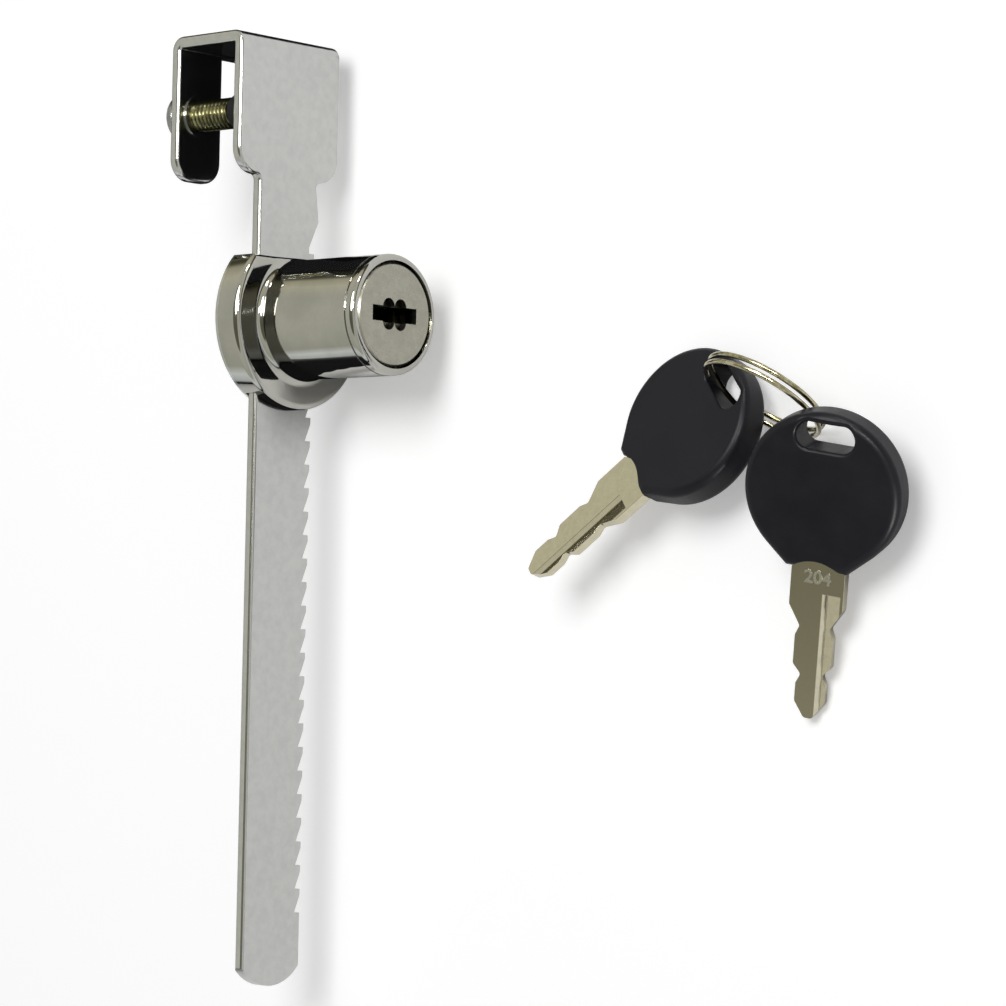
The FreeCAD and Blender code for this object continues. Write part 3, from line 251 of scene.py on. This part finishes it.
@dataclass(frozen=True)
class PlatedMetal:
    """A plated or bare metal: a clean reflection, softened by grain, handling and pits.

    The ranges say between which values of a noise pattern the metal goes from clean to
    worn, from plain to specked, and from its lower to its upper roughness.
    """

    name: str
    colour: str
    dull_colour: str
    roughness: tuple[float, float]
    grain: Grain = Grain.ROUND
    grain_mm: float = 0.25
    smudge_mm: float = 9.0
    relief_mm: float = 0.004
    speckle: float = 0.0

    speck_mm: ClassVar[float] = 0.35
    worn_range: ClassVar[tuple[float, float]] = (0.38, 0.66)
    speck_range: ClassVar[tuple[float, float]] = (0.52, 0.72)
    blur_range: ClassVar[tuple[float, float]] = (0.3, 0.7)

    def material(self) -> bpy.types.Material:
        """Build the finish's material.

        Returns:
            The material, with its nodes on object coordinates.
        """
        material, tree = blank_material(self.name)
        place = add_node(tree, "ShaderNodeTexCoord").outputs["Object"]
        along = add_node(tree, "ShaderNodeMapping", {"Vector": place, "Scale": self.grain.value})
        smudges = add_node(tree, "ShaderNodeTexNoise", {
            "Vector": place, "Scale": 1 / (self.smudge_mm * MM), "Detail": 4.0, "Roughness": 0.6})
        lines = add_node(tree, "ShaderNodeTexNoise", {
            "Vector": along.outputs["Vector"], "Scale": 1 / (self.grain_mm * MM), "Detail": 3.0})
        specks = add_node(tree, "ShaderNodeTexNoise", {
            "Vector": place, "Scale": 1 / (self.speck_mm * MM), "Detail": 5.0, "Roughness": 0.7})
        worn = add_node(tree, "ShaderNodeMapRange", {
            "Value": smudges.outputs["Fac"],
            "From Min": self.worn_range[0], "From Max": self.worn_range[1]})
        dotted = add_node(tree, "ShaderNodeMapRange", {
            "Value": specks.outputs["Fac"], "To Min": 0.0, "To Max": self.speckle,
            "From Min": self.speck_range[0], "From Max": self.speck_range[1]})
        either = add_node(tree, "ShaderNodeMath", {
            0: worn.outputs["Result"], 1: dotted.outputs["Result"]}, operation="ADD", use_clamp=True)
        blur = add_node(tree, "ShaderNodeMapRange", {
            "Value": smudges.outputs["Fac"],
            "From Min": self.blur_range[0], "From Max": self.blur_range[1],
            "To Min": self.roughness[0], "To Max": self.roughness[1]})
        rise = add_node(tree, "ShaderNodeBump", {
            "Height": lines.outputs["Fac"], "Distance": self.relief_mm * MM, "Strength": 1.0})
        shader = add_node(tree, "ShaderNodeBsdfPrincipled", {
            "Base Color": self.tone(tree, place, either.outputs["Value"]), "Metallic": 1.0,
            "Roughness": blur.outputs["Result"], "Normal": rise.outputs["Normal"]})
        add_node(tree, "ShaderNodeOutputMaterial", {"Surface": shader.outputs["BSDF"]})
        return material

    def tone(self, tree: Tree, place: Socket, worn: Socket) -> Socket:
        """Give the colour's socket, from how worn the metal is at each place."""
        return colours_along(tree, worn, (0.0, self.colour), (1.0, self.dull_colour))


@dataclass(frozen=True)
class ShadedRecessPlate(PlatedMetal):
    """A plated face that looks along x, with painted shade that darkens what is cut into it."""

    recess_shade: str = "#34332D"
    face_mm: float = 0.0
    shade_start_mm: float = 0.15
    fade_mm: float = 1.3

    def tone(self, tree: Tree, place: Socket, worn: Socket) -> Socket:
        """Darken the plate's colour with depth below the face, as painted shade in what is cut into it.

        Args:
            tree: the material's node tree.
            place: the socket with the object coordinates.
            worn: the socket that says how worn the metal is.

        Returns:
            The colour's socket.
        """
        across = add_node(tree, "ShaderNodeSeparateXYZ", {"Vector": place})
        # Painted shade: the deeper below the face, the darker the colour.
        deep = add_node(tree, "ShaderNodeMapRange", {
            "Value": across.outputs["X"], "From Min": (self.face_mm - self.fade_mm) * MM,
            "From Max": (self.face_mm - self.shade_start_mm) * MM, "To Min": 1.0, "To Max": 0.0})
        mixed = add_node(tree, "ShaderNodeMix", {
            0: deep.outputs["Result"], 6: super().tone(tree, place, worn),
            7: linear(self.recess_shade)}, data_type="RGBA")
        return mixed.outputs[2]


@dataclass(frozen=True)
class MouldedPlastic:
    """A moulded plastic or rubber: dark and even, with the mould's spark-eroded texture."""

    name: str
    colour: str
    worn_colour: str
    roughness: tuple[float, float]
    texture_mm: float
    relief_mm: float
    ior: float

    cloud_mm: ClassVar[float] = 6.0
    blur_range: ClassVar[tuple[float, float]] = (0.35, 0.65)

    def material(self) -> bpy.types.Material:
        """Build the finish's material.

        Returns:
            The material, with its nodes on object coordinates.
        """
        material, tree = blank_material(self.name)
        place = add_node(tree, "ShaderNodeTexCoord").outputs["Object"]
        cloud = add_node(tree, "ShaderNodeTexNoise", {
            "Vector": place, "Scale": 1 / (self.cloud_mm * MM), "Detail": 5.0, "Roughness": 0.65})
        texture = add_node(tree, "ShaderNodeTexNoise", {
            "Vector": place, "Scale": 1 / (self.texture_mm * MM), "Detail": 2.0})
        tone = colours_along(tree, cloud.outputs["Fac"], (0.0, self.colour), (1.0, self.worn_colour))
        blur = add_node(tree, "ShaderNodeMapRange", {
            "Value": cloud.outputs["Fac"],
            "From Min": self.blur_range[0], "From Max": self.blur_range[1],
            "To Min": self.roughness[0], "To Max": self.roughness[1]})
        rise = add_node(tree, "ShaderNodeBump", {
            "Height": texture.outputs["Fac"], "Distance": self.relief_mm * MM, "Strength": 1.0})
        shader = add_node(tree, "ShaderNodeBsdfPrincipled", {
            "Base Color": tone, "IOR": self.ior, "Roughness": blur.outputs["Result"],
            "Normal": rise.outputs["Normal"]})
        add_node(tree, "ShaderNodeOutputMaterial", {"Surface": shader.outputs["BSDF"]})
        return material


Finish = PlatedMetal | MouldedPlastic

# Bright nickel-chrome over punched steel: a pale mirror that the steel's rolling lines soften.
STRIP_PLATE = PlatedMetal("chrome_over_punched_steel", "#D9D9D6", "#D1D2CF", (0.14, 0.18),
                          Grain.ALONG_BAR, 0.3, 1.3, 0.0012, 0.3)
# Chrome over polished zinc casting: the cleanest mirror on the lock, a little warm.
HEAD_PLATE = PlatedMetal("chrome_over_die_cast_zinc", "#C9C8C0", "#BDBCB4", (0.035, 0.08),
                         Grain.ROUND, 0.6, 7.0, 0.0006, 0.1)
# Satin nickel over brass: the plug's face keeps a soft, warm grey sheen from its turning, and its keyway
# is darkened with painted shade.
PLUG_PLATE = ShadedRecessPlate("satin_nickel_over_brass", "#B6B4A6", "#ADAB9D", (0.24, 0.32),
                         Grain.ROUND, 0.2, 1.4, 0.0015, 0.2, face_mm=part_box("plug")[1][0] / MM)
# Yellow-passivated zinc on steel: straw gold crests over olive flanks.
SCREW_PLATE = PlatedMetal("yellow_zinc_on_steel", "#A8A57C", "#55533A", (0.16, 0.3),
                          Grain.ROUND, 0.3, 1.6, 0.002, 0.5)
# Nickel-plated brass stamping: champagne grey, dulled by the key's use.
KEY_PLATE = PlatedMetal("nickel_over_brass_key", "#E4DDC2", "#DCD5BB", (0.15, 0.19),
                        Grain.ROUND, 0.18, 1.0, 0.0006, 0.15)
# The raised numbers: the same plating, rubbed bright.
DIGIT_PLATE = PlatedMetal("rubbed_nickel_digits", "#FAF7EA", "#F0ECDA", (0.2, 0.3),
                          Grain.ROUND, 0.1, 0.8, 0.001, 0.1)
# Nickel-plated spring wire: brassy where the plating is thin.
RING_PLATE = PlatedMetal("nickel_over_ring_wire", "#DCD5B8", "#A79F78", (0.1, 0.22),
                         Grain.ROUND, 0.2, 1.4, 0.001, 0.4)
# Punched brass wafers, brown with grease and handling, and darker still with painted shade, as they lie
# deep in the keyway.
WAFER_BRASS = PlatedMetal("greased_and_shaded_brass", "#6E6852", "#47432F", (0.34, 0.5),
                          Grain.ROUND, 0.12, 1.5, 0.002, 0.3)
# Drawn spring steel: grey with a faint drawing line.
SPRING_WIRE = PlatedMetal("drawn_spring_steel", "#B9BABB", "#8F9091", (0.18, 0.3),
                          Grain.ROUND, 0.1, 0.8, 0.001, 0.2)
# Ground and oiled steel of the pin, the washer and the pawl: grey, with fine lines across.
GROUND_STEEL = PlatedMetal("ground_steel", "#A7A7A5", "#7E7E7C", (0.2, 0.36),
                           Grain.ACROSS_BAR, 0.12, 1.8, 0.002, 0.3)
# White zinc on the clamp screw's head and the cover's small screws: a cold, slightly dull grey.
WHITE_ZINC = PlatedMetal("white_zinc_on_steel", "#BCBEC0", "#9C9EA0", (0.2, 0.34),
                         Grain.ROUND, 0.2, 1.2, 0.002, 0.3)
# Moulded ABS bows: near black, with a low gloss that shows on the rims.
BOW_ABS = MouldedPlastic("moulded_black_abs", "#1A191E", "#212026", (0.3, 0.42), 0.25, 0.004, 1.3)
# Rubber pad, matt and without the bows' violet tinge.
PAD_RUBBER = MouldedPlastic("black_rubber", "#141416", "#1D1D1F", (0.6, 0.75), 0.3, 0.01, 1.35)


class Finishes:
    """The finishes' materials, each made once."""

    def __init__(self) -> None:
        """Start with none made."""
        self.made: dict[str, bpy.types.Material] = {}

    def of(self, finish: Finish) -> bpy.types.Material:
        """Give a finish's material, which is made the first time that it is asked for.

        Args:
            finish: the finish.

        Returns:
            Its material.
        """
        if finish.name not in self.made:
            self.made[finish.name] = finish.material()
        return self.made[finish.name]

    def put(self, piece: bpy.types.Object, finish: Finish) -> None:
        """Give a new piece one finish all over."""
        piece.data.materials.clear()
        piece.data.materials.append(self.of(finish))

    def put_on_node(self, node: str, finish: Finish) -> None:
        """Give a CAD node one finish in its own material slots."""
        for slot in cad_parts[node].material_slots:
            slot.material = self.of(finish)

    def put_on_copy(self, node: str, ease_mm: float, finish: Finish, body: str, slot: str) -> None:
        """Put a copy with broken edges in a CAD node's place, with one finish.

        Args:
            node: the CAD node's name.
            ease_mm: width of the broken edges.
            finish: the copy's finish.
            body: the body that the copy rides on.
            slot: the record's material slot; not used.
        """
        piece = eased_copy(node, ease_mm)
        self.put(piece, finish)
        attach(piece, body)
        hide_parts(node)


# The strip
@dataclass
class ToothedStrip:
    """The punched strip: hook, neck and toothed bar."""

    finishes: Finishes
    ease_mm: float = 0.12

    def build(self) -> None:
        """Break the strip's punched edges and plate it."""
        self.finishes.put_on_copy("toothed_bar", self.ease_mm, STRIP_PLATE, "bar", "strip_steel")


# The clamp screw and its pad
@dataclass
class ClampScrew:
    """The screw through the hook's leg, with a real thread and a cross recess.

    Its axis runs along x, with the head at the low end. Sizes are in millimetres, and a
    pole is a ring so small that its points merge.
    """

    finishes: Finishes
    axis_y: float = -9.9
    axis_z: float = 5.85
    seat_x: float = -14.2
    tip_x: float = -3.4
    pin_x: float = -2.0
    crest_r: float = 2.39
    root_r: float = 1.9
    pin_r: float = 1.58
    pin_edge: float = 0.15
    pitch: float = 0.8
    steps_a_pitch: int = 12
    thread_points: int = 60
    flank: float = 1.25
    root_flat: float = 0.1
    head_r: float = 3.58
    head_edge: float = 0.12
    head_points: int = 144
    head_rings: int = 40
    rim: float = 1.1
    dome: float = 1.28
    recess_half: float = 2.1
    recess_wide: float = 0.42
    recess_deep: float = 1.2
    recess_wall: float = 0.1
    arm_share: float = 0.35
    pole_r: float = 0.001
    crease_degrees: float = 38.0

    def build(self) -> None:
        """Put the threaded shank and the head in the leg's hole."""
        shank = self.piece("clamp_screw_threaded", self.shank(), SCREW_PLATE)
        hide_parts("clamp_screw")
        self.piece("clamp_screw_head", self.head(), WHITE_ZINC)
        self.finishes.put_on_node("pressure_pad", PAD_RUBBER)

    def piece(self, name: str, shape: Shape, finish: PlatedMetal) -> bpy.types.Object:
        """Set one turned shape on the screw's axis and give it its finish.

        Args:
            name: the piece's name.
            shape: points about the axis, and faces.
            finish: the piece's finish.

        Returns:
            The piece, which rides on the screw's body.
        """
        points, faces = shape
        piece = mesh_from(name, points + (0, self.axis_y, self.axis_z), faces)
        outward(piece)
        sharpen(piece.data, self.crease_degrees)
        self.finishes.put(piece, finish)
        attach(piece, "screw")
        return piece

    @staticmethod
    def turned(rows: np.ndarray, ends: tuple[tuple[float, float], ...], angle: np.ndarray) -> Shape:
        """Close a shape with plain rings: at angle a, a ring's point is x, r cos a, r sin a.

        Args:
            rows: the rings that come first, as points.
            ends: the plain rings that follow, each a place x along the axis and a radius r.
            angle: the angles of a ring's points.

        Returns:
            Points and quads.
        """
        place, radius = np.array(ends).T[:, :, None]
        across = np.broadcast_to(place, (len(ends), len(angle)))
        plain = np.stack([across, radius * np.cos(angle), radius * np.sin(angle)], -1)
        points = np.concatenate([rows, plain])
        return points.reshape(-1, 3), tube_faces(len(points), len(angle))

    def shank(self) -> Shape:
        """Thread, turned end and point.

        The radius at place x and angle a is root + (crest - root) * w, where w is a
        triangle wave of x / pitch - a / turn with its tops and roots cut flat, fading out
        over half a pitch at each end.

        Returns:
            Points and quads.
        """
        x = np.arange(self.seat_x, self.tip_x, self.pitch / self.steps_a_pitch)
        x = np.concatenate([x, [self.tip_x]])
        angle = np.linspace(0, 2 * np.pi, self.thread_points, endpoint=False)
        turns = x[:, None] / self.pitch - angle[None, :] / (2 * np.pi)
        wave = np.clip(np.abs(2 * (turns % 1) - 1) * self.flank - self.root_flat, 0, 1)
        fade = np.clip(np.minimum(x - self.seat_x, self.tip_x - x) / (self.pitch / 2), 0, 1)
        radius = self.root_r + (self.crest_r - self.root_r) * wave * fade[:, None]
        along = np.broadcast_to(x[:, None], radius.shape)
        rows = np.stack([along, radius * np.cos(angle), radius * np.sin(angle)], -1)
        ends = ((self.tip_x, self.pin_r), (self.pin_x - self.pin_edge, self.pin_r),
                (self.pin_x, self.pin_r - self.pin_edge), (self.pin_x, self.pole_r))
        return self.turned(rows, ends, angle)

    def head(self) -> Shape:
        """Domed head with a cross recess.

        The dome stands dome * (1 - (r / head_r) ^ 2) over its rim at radius r. The recess
        takes away recess_deep at its middle, and arm_share of that at the ends of its arms,
        where a point lies inside the cross, with a wall that slopes over recess_wall.

        Returns:
            Points and quads.
        """
        angle = np.linspace(0, 2 * np.pi, self.head_points, endpoint=False)
        radius = np.linspace(self.head_edge, self.head_r - self.head_edge, self.head_rings)
        radius = np.concatenate([[self.pole_r], radius])[:, None]
        across, up = radius * np.cos(angle), radius * np.sin(angle)
        near = np.minimum(np.abs(across), np.abs(up))
        far = np.maximum(np.abs(across), np.abs(up))
        inward = np.minimum(self.recess_wide - near, self.recess_half - far) / self.recess_wall
        share = np.clip(1 + self.arm_share - far / self.recess_half, self.arm_share, 1)
        deep = self.recess_deep * np.clip(inward + 0.5, 0, 1) * share
        rim_x = self.seat_x - self.rim
        rows = np.stack([rim_x - self.dome * (1 - (radius / self.head_r) ** 2) + deep, across, up], -1)
        ends = ((rim_x, self.head_r), (self.seat_x - self.head_edge, self.head_r),
                (self.seat_x, self.head_r - self.head_edge), (self.seat_x, self.pole_r))
        return self.turned(rows, ends, angle)


# The lock head
@dataclass
class LockHead:
    """Housing, cover and everything that the housing holds."""

    finishes: Finishes
    ease_mm: float = 0.08
    wafers: int = 7

    def build(self) -> None:
        """Dress the housing and the pieces on and in it."""
        put = self.finishes.put_on_node
        self.finishes.put_on_copy("lock_housing", self.ease_mm, HEAD_PLATE, "lock_head", "head_chrome")
        self.finishes.put_on_copy("plug", self.ease_mm, PLUG_PLATE, "plug_body", "plug_nickel")
        put("back_cover", STRIP_PLATE)
        put("cover_screws", WHITE_ZINC)
        for node in ("drive_pin", "stop_washer", "pawl"):
            put(node, GROUND_STEEL)
        for node in ("retaining_clip", "pawl_spring"):
            put(node, SPRING_WIRE)
        for number in range(1, self.wafers + 1):
            put("wafer_%d" % number, WAFER_BRASS)
            put("wafer_spring_%d" % number, SPRING_WIRE)


# The keys and their ring
@dataclass(frozen=True)
class KeyPlace:
    """Where a key lies: its bow's middle in millimetres and its turns in degrees."""

    middle: Triple
    yaw: float
    lift: float
    roll: float

    def matrix(self) -> Matrix:
        """Give the turn and shift from the key's own frame to the lock's.

        Returns:
            The matrix, where the key's blade runs along its own -y and its faces look along z.
        """
        turn = (Matrix.Rotation(np.radians(self.yaw), 4, "Z")
                @ Matrix.Rotation(np.radians(self.lift), 4, "X")
                @ Matrix.Rotation(np.radians(self.roll), 4, "Y"))
        return Matrix.Translation(Vector(self.middle) * MM) @ turn


KEY_1_PLACE = KeyPlace((73.28, -58.4, -9.22), -50.25, -8.54, -14.13)
KEY_2_PLACE = KeyPlace((99.09, -67.78, -5.55), -14.99, 14.19, 19.05)


@dataclass
class Key:
    """One key: stamped blade, moulded bow and the numbers on the blade."""

    finishes: Finishes
    name: str
    place: KeyPlace
    digits: str = ""
    ease_mm: float = 0.05
    face_mm: float = 0.85
    digit_mm: float = 2.6
    digits_at: float = -13.2
    raised_mm: float = 0.07
    bolder_mm: float = 0.05
    digit_edge_mm: float = 0.02
    curve_steps: int = 6

    def build(self) -> None:
        """Dress the blade and the bow."""
        self.finishes.put_on_copy(self.name + "_blade", self.ease_mm, KEY_PLATE, self.name, "key_nickel")
        self.finishes.put_on_node(self.name + "_bow", BOW_ABS)
        if self.digits:
            numbers = self.numbers()
            self.finishes.put(numbers, DIGIT_PLATE)
            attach(numbers, self.name)

    def numbers(self) -> bpy.types.Object:
        """Make raised plain numbers and lay them on the blade's shoulders.

        Returns:
            The numbers, as a mesh at the origin.
        """
        letters = bpy.data.curves.new(self.name + "_digits", "FONT")
        letters.body = self.digits
        letters.size = self.digit_mm * MM
        letters.align_x = "CENTER"
        letters.extrude = self.raised_mm * MM
        letters.bevel_depth = self.digit_edge_mm * MM
        letters.offset = self.bolder_mm * MM
        letters.bevel_resolution = 0
        letters.resolution_u = self.curve_steps
        holder = bpy.data.objects.new(self.name + "_digits", letters)
        bpy.context.scene.collection.objects.link(holder)
        bpy.context.view_layer.update()
        shown = holder.evaluated_get(bpy.context.evaluated_depsgraph_get())
        mesh = bpy.data.meshes.new_from_object(shown)
        bpy.data.objects.remove(holder)
        on_blade = Matrix.Translation((0, self.digits_at * MM, self.face_mm * MM))
        mesh.transform(self.place.matrix() @ on_blade)
        numbers = bpy.data.objects.new(self.name + "_numbers", mesh)
        bpy.context.scene.collection.objects.link(numbers)
        return numbers


@dataclass
class SplitRing:
    """The ring of two turns of wire."""

    finishes: Finishes

    def build(self) -> None:
        """Plate the wire."""
        self.finishes.put_on_node("split_ring", RING_PLATE)


# The studio
@dataclass(frozen=True)
class Lamp:
    """A round lamp: place, aim and size in metres, and power in watts.

    A lamp that isn't soft only shows in what mirrors it, and one with lit_nodes lights
    those pieces alone.
    """

    name: str
    place: Triple
    aim: Triple
    size: float
    power: float
    soft: bool = False
    lit_nodes: tuple[str, ...] = ()

    def build(self) -> None:
        """Hang the lamp and turn it to its aim."""
        data = bpy.data.lights.new(self.name, "AREA")
        data.shape = "DISK"
        data.size = self.size
        data.energy = self.power
        lamp = bpy.data.objects.new(self.name, data)
        look = (Vector(self.place) - Vector(self.aim)).to_track_quat("Z", "Y")
        lamp.matrix_world = Matrix.Translation(self.place) @ look.to_matrix().to_4x4()
        lamp.visible_diffuse = self.soft
        if self.lit_nodes:
            lit = bpy.data.collections.new(self.name + "_lights")
            for node in self.lit_nodes:
                lit.objects.link(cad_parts[node])
            lamp.light_linking.receiver_collection = lit
        bpy.context.scene.collection.objects.link(lamp)


LAMPS = (
    Lamp("overhead_softbox", (0.22, 0.25, 0.8), (0.04, -0.07, 0.0), 0.5, 4.6, soft=True),
    Lamp("lamp_by_camera", (0.45, 0.09, 0.42), (0.02, -0.04, 0.0), 0.09, 0.9),
    Lamp("lamp_above", (0.3, 0.5, 0.3), (0.02, -0.04, 0.0), 0.09, 0.9),
    Lamp("lamp_by_keys", (0.52, -0.5, 0.13), (0.09, -0.07, 0.0), 0.12, 2.4,
         lit_nodes=("key_1_bow", "key_2_bow")),
)

# What the metal mirrors from level to overhead, towards the bar's end and the hook's end
BAR_END_ROOM: tuple[Stop, ...] = (
    (0.03, "#0C0C0D"), (0.07, "#C4C9CC"), (0.2, "#E2E6E8"), (0.34, "#B4B4AB"), (0.6, "#C0C0B7"),
    (0.76, "#C4C4BB"), (0.83, "#67665A"))
HOOK_END_ROOM: tuple[Stop, ...] = (
    (0.03, "#0C0C0D"), (0.07, "#6A6A55"), (0.11, "#45453A"), (0.17, "#5E5D4A"), (0.24, "#B4B09C"),
    (0.42, "#CFCCBA"), (0.6, "#C0C0B7"), (0.76, "#C4C4BB"), (0.83, "#7C7B6E"))


@dataclass
class Studio:
    """Camera, floor, soft light and what the metal mirrors.

    The floor spans floor_half each way, in millimetres as the corners of the dark sheet that only the
    metal mirrors, a sheet of painted shade under and beside the strip, and floor_lift is how far the floor
    is brightened for the camera. The room goes from one end's colours to the other's over room_turn,
    as the y part of the direction, and mirrored_twice is its share where metal is seen mirrored in metal.
    """

    sensor_mm: float = 36.0
    lens_mm: float = 132.06
    clip_near: float = 0.01
    camera_at: Triple = (0.39301, -0.09171, 0.39439)
    right: Triple = (0.7514, 0.0207, -0.6595)
    up: Triple = (0.0127, 0.9989, 0.0458)
    back: Triple = (0.6597, -0.0428, 0.7503)
    floor_z: float = -0.0147
    floor_half: float = 3000.0
    floor_lift: float = 0.3
    floor_colour: str = "#EEEEEE"
    # Painted shade: the floor's colour where it is seen in metal mirrored in metal.
    floor_painted_dark_twice: str = "#26262A"
    # Painted shade: a dark sheet that only the metal mirrors, standing in for the floor's shade under and
    # beside the strip.
    shade_sheet_colour: str = "#1C1C1E"
    shade_sheet_rise: float = 0.1
    shade_sheet_corners: tuple[tuple[float, float], ...] = (
        (-900, -260), (-60, -60), (-6, -42), (0, -38), (0, -24), (5, -22), (5, 3),
        (0, 6), (0, 30), (-60, 260), (-900, 700))
    fill_level: float = 0.35
    room_turn: tuple[float, float] = (-0.15, 0.25)
    mirrored_twice: float = 0.3

    def build(self) -> None:
        """Set up the whole studio."""
        bpy.context.scene.view_settings.view_transform = "Standard"
        self.camera()
        self.floor()
        self.painted_shade_sheet()
        self.world()
        for lamp in LAMPS:
            lamp.build()

    def camera(self) -> None:
        """Set the camera that was fitted to the photo."""
        data = bpy.data.cameras.new("photo_camera")
        data.sensor_width = self.sensor_mm
        data.lens = self.lens_mm
        data.clip_start = self.clip_near
        camera = bpy.data.objects.new("photo_camera", data)
        turn = Matrix((self.right, self.up, self.back)).transposed().to_4x4()
        camera.matrix_world = Matrix.Translation(self.camera_at) @ turn
        bpy.context.scene.collection.objects.link(camera)
        bpy.context.scene.camera = camera

    def card(self, name: str, corners: tuple[tuple[float, float], ...], rise: float) -> bpy.types.Object:
        """Lay a flat card on the floor or over it.

        Args:
            name: the card's name.
            corners: the x and y of its corners, in millimetres.
            rise: how far it lies above the floor, in millimetres.

        Returns:
            The card.
        """
        level = self.floor_z / MM + rise
        points = np.array([(x, y, level) for x, y in corners])
        return mesh_from(name, points, np.arange(len(corners))[None, :])

    def floor(self) -> bpy.types.Object:
        """Lay a pale floor that keeps the lock's shadow.

        Returns:
            The floor.
        """
        half = self.floor_half
        floor = self.card("floor", ((-half, -half), (half, -half), (half, half), (-half, half)), 0.0)
        material, tree = blank_material("pale_floor")
        ray = add_node(tree, "ShaderNodeLightPath")
        # Painted shade: the floor turns dark where it is seen in metal mirrored in metal.
        tone = add_node(tree, "ShaderNodeMix", {
            0: self.seen_twice(tree, ray), 6: linear(self.floor_colour),
            7: linear(self.floor_painted_dark_twice)}, data_type="RGBA")
        matt = add_node(tree, "ShaderNodeBsdfDiffuse", {"Color": tone.outputs[2]})
        seen = add_node(tree, "ShaderNodeMath", {
            0: ray.outputs["Is Camera Ray"], 1: ray.outputs["Is Transmission Ray"]},
                        operation="ADD", use_clamp=True)
        lift = add_node(tree, "ShaderNodeMath", {
            0: seen.outputs["Value"], 1: self.floor_lift}, operation="MULTIPLY")
        glow = add_node(tree, "ShaderNodeEmission", {
            "Color": linear("#FFFFFF"), "Strength": lift.outputs["Value"]})
        both = add_node(tree, "ShaderNodeAddShader", {
            0: matt.outputs["BSDF"], 1: glow.outputs["Emission"]})
        add_node(tree, "ShaderNodeOutputMaterial", {"Surface": both.outputs["Shader"]})
        floor.data.materials.append(material)
        return floor

    def painted_shade_sheet(self) -> bpy.types.Object:
        """Lay a dark sheet under and beside the strip, which only the metal mirrors: painted shade that
        stands in for the floor's shadow there.

        Returns:
            The sheet.
        """
        shade_sheet = self.card("painted_shade_sheet", self.shade_sheet_corners, self.shade_sheet_rise)
        shade_sheet.visible_camera = False
        shade_sheet.visible_diffuse = False
        shade_sheet.visible_shadow = False
        shade_sheet.visible_transmission = False
        material, tree = blank_material("painted_shade_sheet")
        # Painted shade: one flat dark colour, seen only in the metal's reflections.
        matt = add_node(tree, "ShaderNodeBsdfDiffuse", {"Color": linear(self.shade_sheet_colour)})
        add_node(tree, "ShaderNodeOutputMaterial", {"Surface": matt.outputs["BSDF"]})
        shade_sheet.data.materials.append(material)
        return shade_sheet

    @staticmethod
    def seen_twice(tree: Tree, ray: bpy.types.Node) -> Socket:
        """Give one where metal is seen mirrored in metal, which in the photo is dark, else nought."""
        return add_node(tree, "ShaderNodeMath", {0: ray.outputs["Glossy Depth"], 1: 1.5},
                        operation="GREATER_THAN").outputs["Value"]

    def world(self) -> None:
        """Light matt surfaces evenly, and give the metal a room to mirror.

        The room is brighter low down towards the bar's end and olive towards the hook's end,
        pale half way up and dark overhead.
        """
        world = bpy.data.worlds.new("studio_room")
        bpy.context.scene.world = world
        world.use_nodes = True
        tree = world.node_tree
        tree.nodes.clear()
        direction = add_node(tree, "ShaderNodeTexCoord").outputs["Generated"]
        part = add_node(tree, "ShaderNodeSeparateXYZ", {"Vector": direction})
        towards_hook = add_node(tree, "ShaderNodeMapRange", {
            "Value": part.outputs["Y"], "From Min": self.room_turn[0], "From Max": self.room_turn[1]})
        colour = add_node(tree, "ShaderNodeMix", {
            0: towards_hook.outputs["Result"],
            6: colours_along(tree, part.outputs["Z"], *BAR_END_ROOM),
            7: colours_along(tree, part.outputs["Z"], *HOOK_END_ROOM)}, data_type="RGBA")
        ray = add_node(tree, "ShaderNodeLightPath")
        level = add_node(tree, "ShaderNodeMapRange", {
            "Value": self.seen_twice(tree, ray), "To Min": 1.0, "To Max": self.mirrored_twice})
        room = add_node(tree, "ShaderNodeBackground", {
            "Color": colour.outputs[2], "Strength": level.outputs["Result"]})
        fill = add_node(tree, "ShaderNodeBackground", {
            "Color": linear("#FFFFFF"), "Strength": self.fill_level})
        white = add_node(tree, "ShaderNodeBackground", {"Color": linear("#FFFFFF"), "Strength": 1.0})
        mirrored = add_node(tree, "ShaderNodeMixShader", {
            0: ray.outputs["Is Glossy Ray"], 1: fill.outputs["Background"], 2: room.outputs["Background"]})
        plain = add_node(tree, "ShaderNodeMixShader", {
            0: ray.outputs["Is Camera Ray"], 1: mirrored.outputs["Shader"],
            2: white.outputs["Background"]})
        add_node(tree, "ShaderNodeOutputWorld", {"Surface": plain.outputs["Shader"]})


def main() -> None:
    """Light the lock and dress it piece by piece."""
    logging.basicConfig(level=logging.INFO, format="%(message)s")
    Studio().build()
    log.info("studio set")
    finishes = Finishes()
    for label, piece in (
            ("toothed strip", ToothedStrip(finishes)),
            ("clamp screw", ClampScrew(finishes)),
            ("lock head", LockHead(finishes)),
            ("first key", Key(finishes, "key_1", KEY_1_PLACE)),
            ("second key", Key(finishes, "key_2", KEY_2_PLACE, "204")),
            ("split ring", SplitRing(finishes))):
        piece.build()
        log.info("%s dressed", label)


if __name__ == "__main__":
    main()
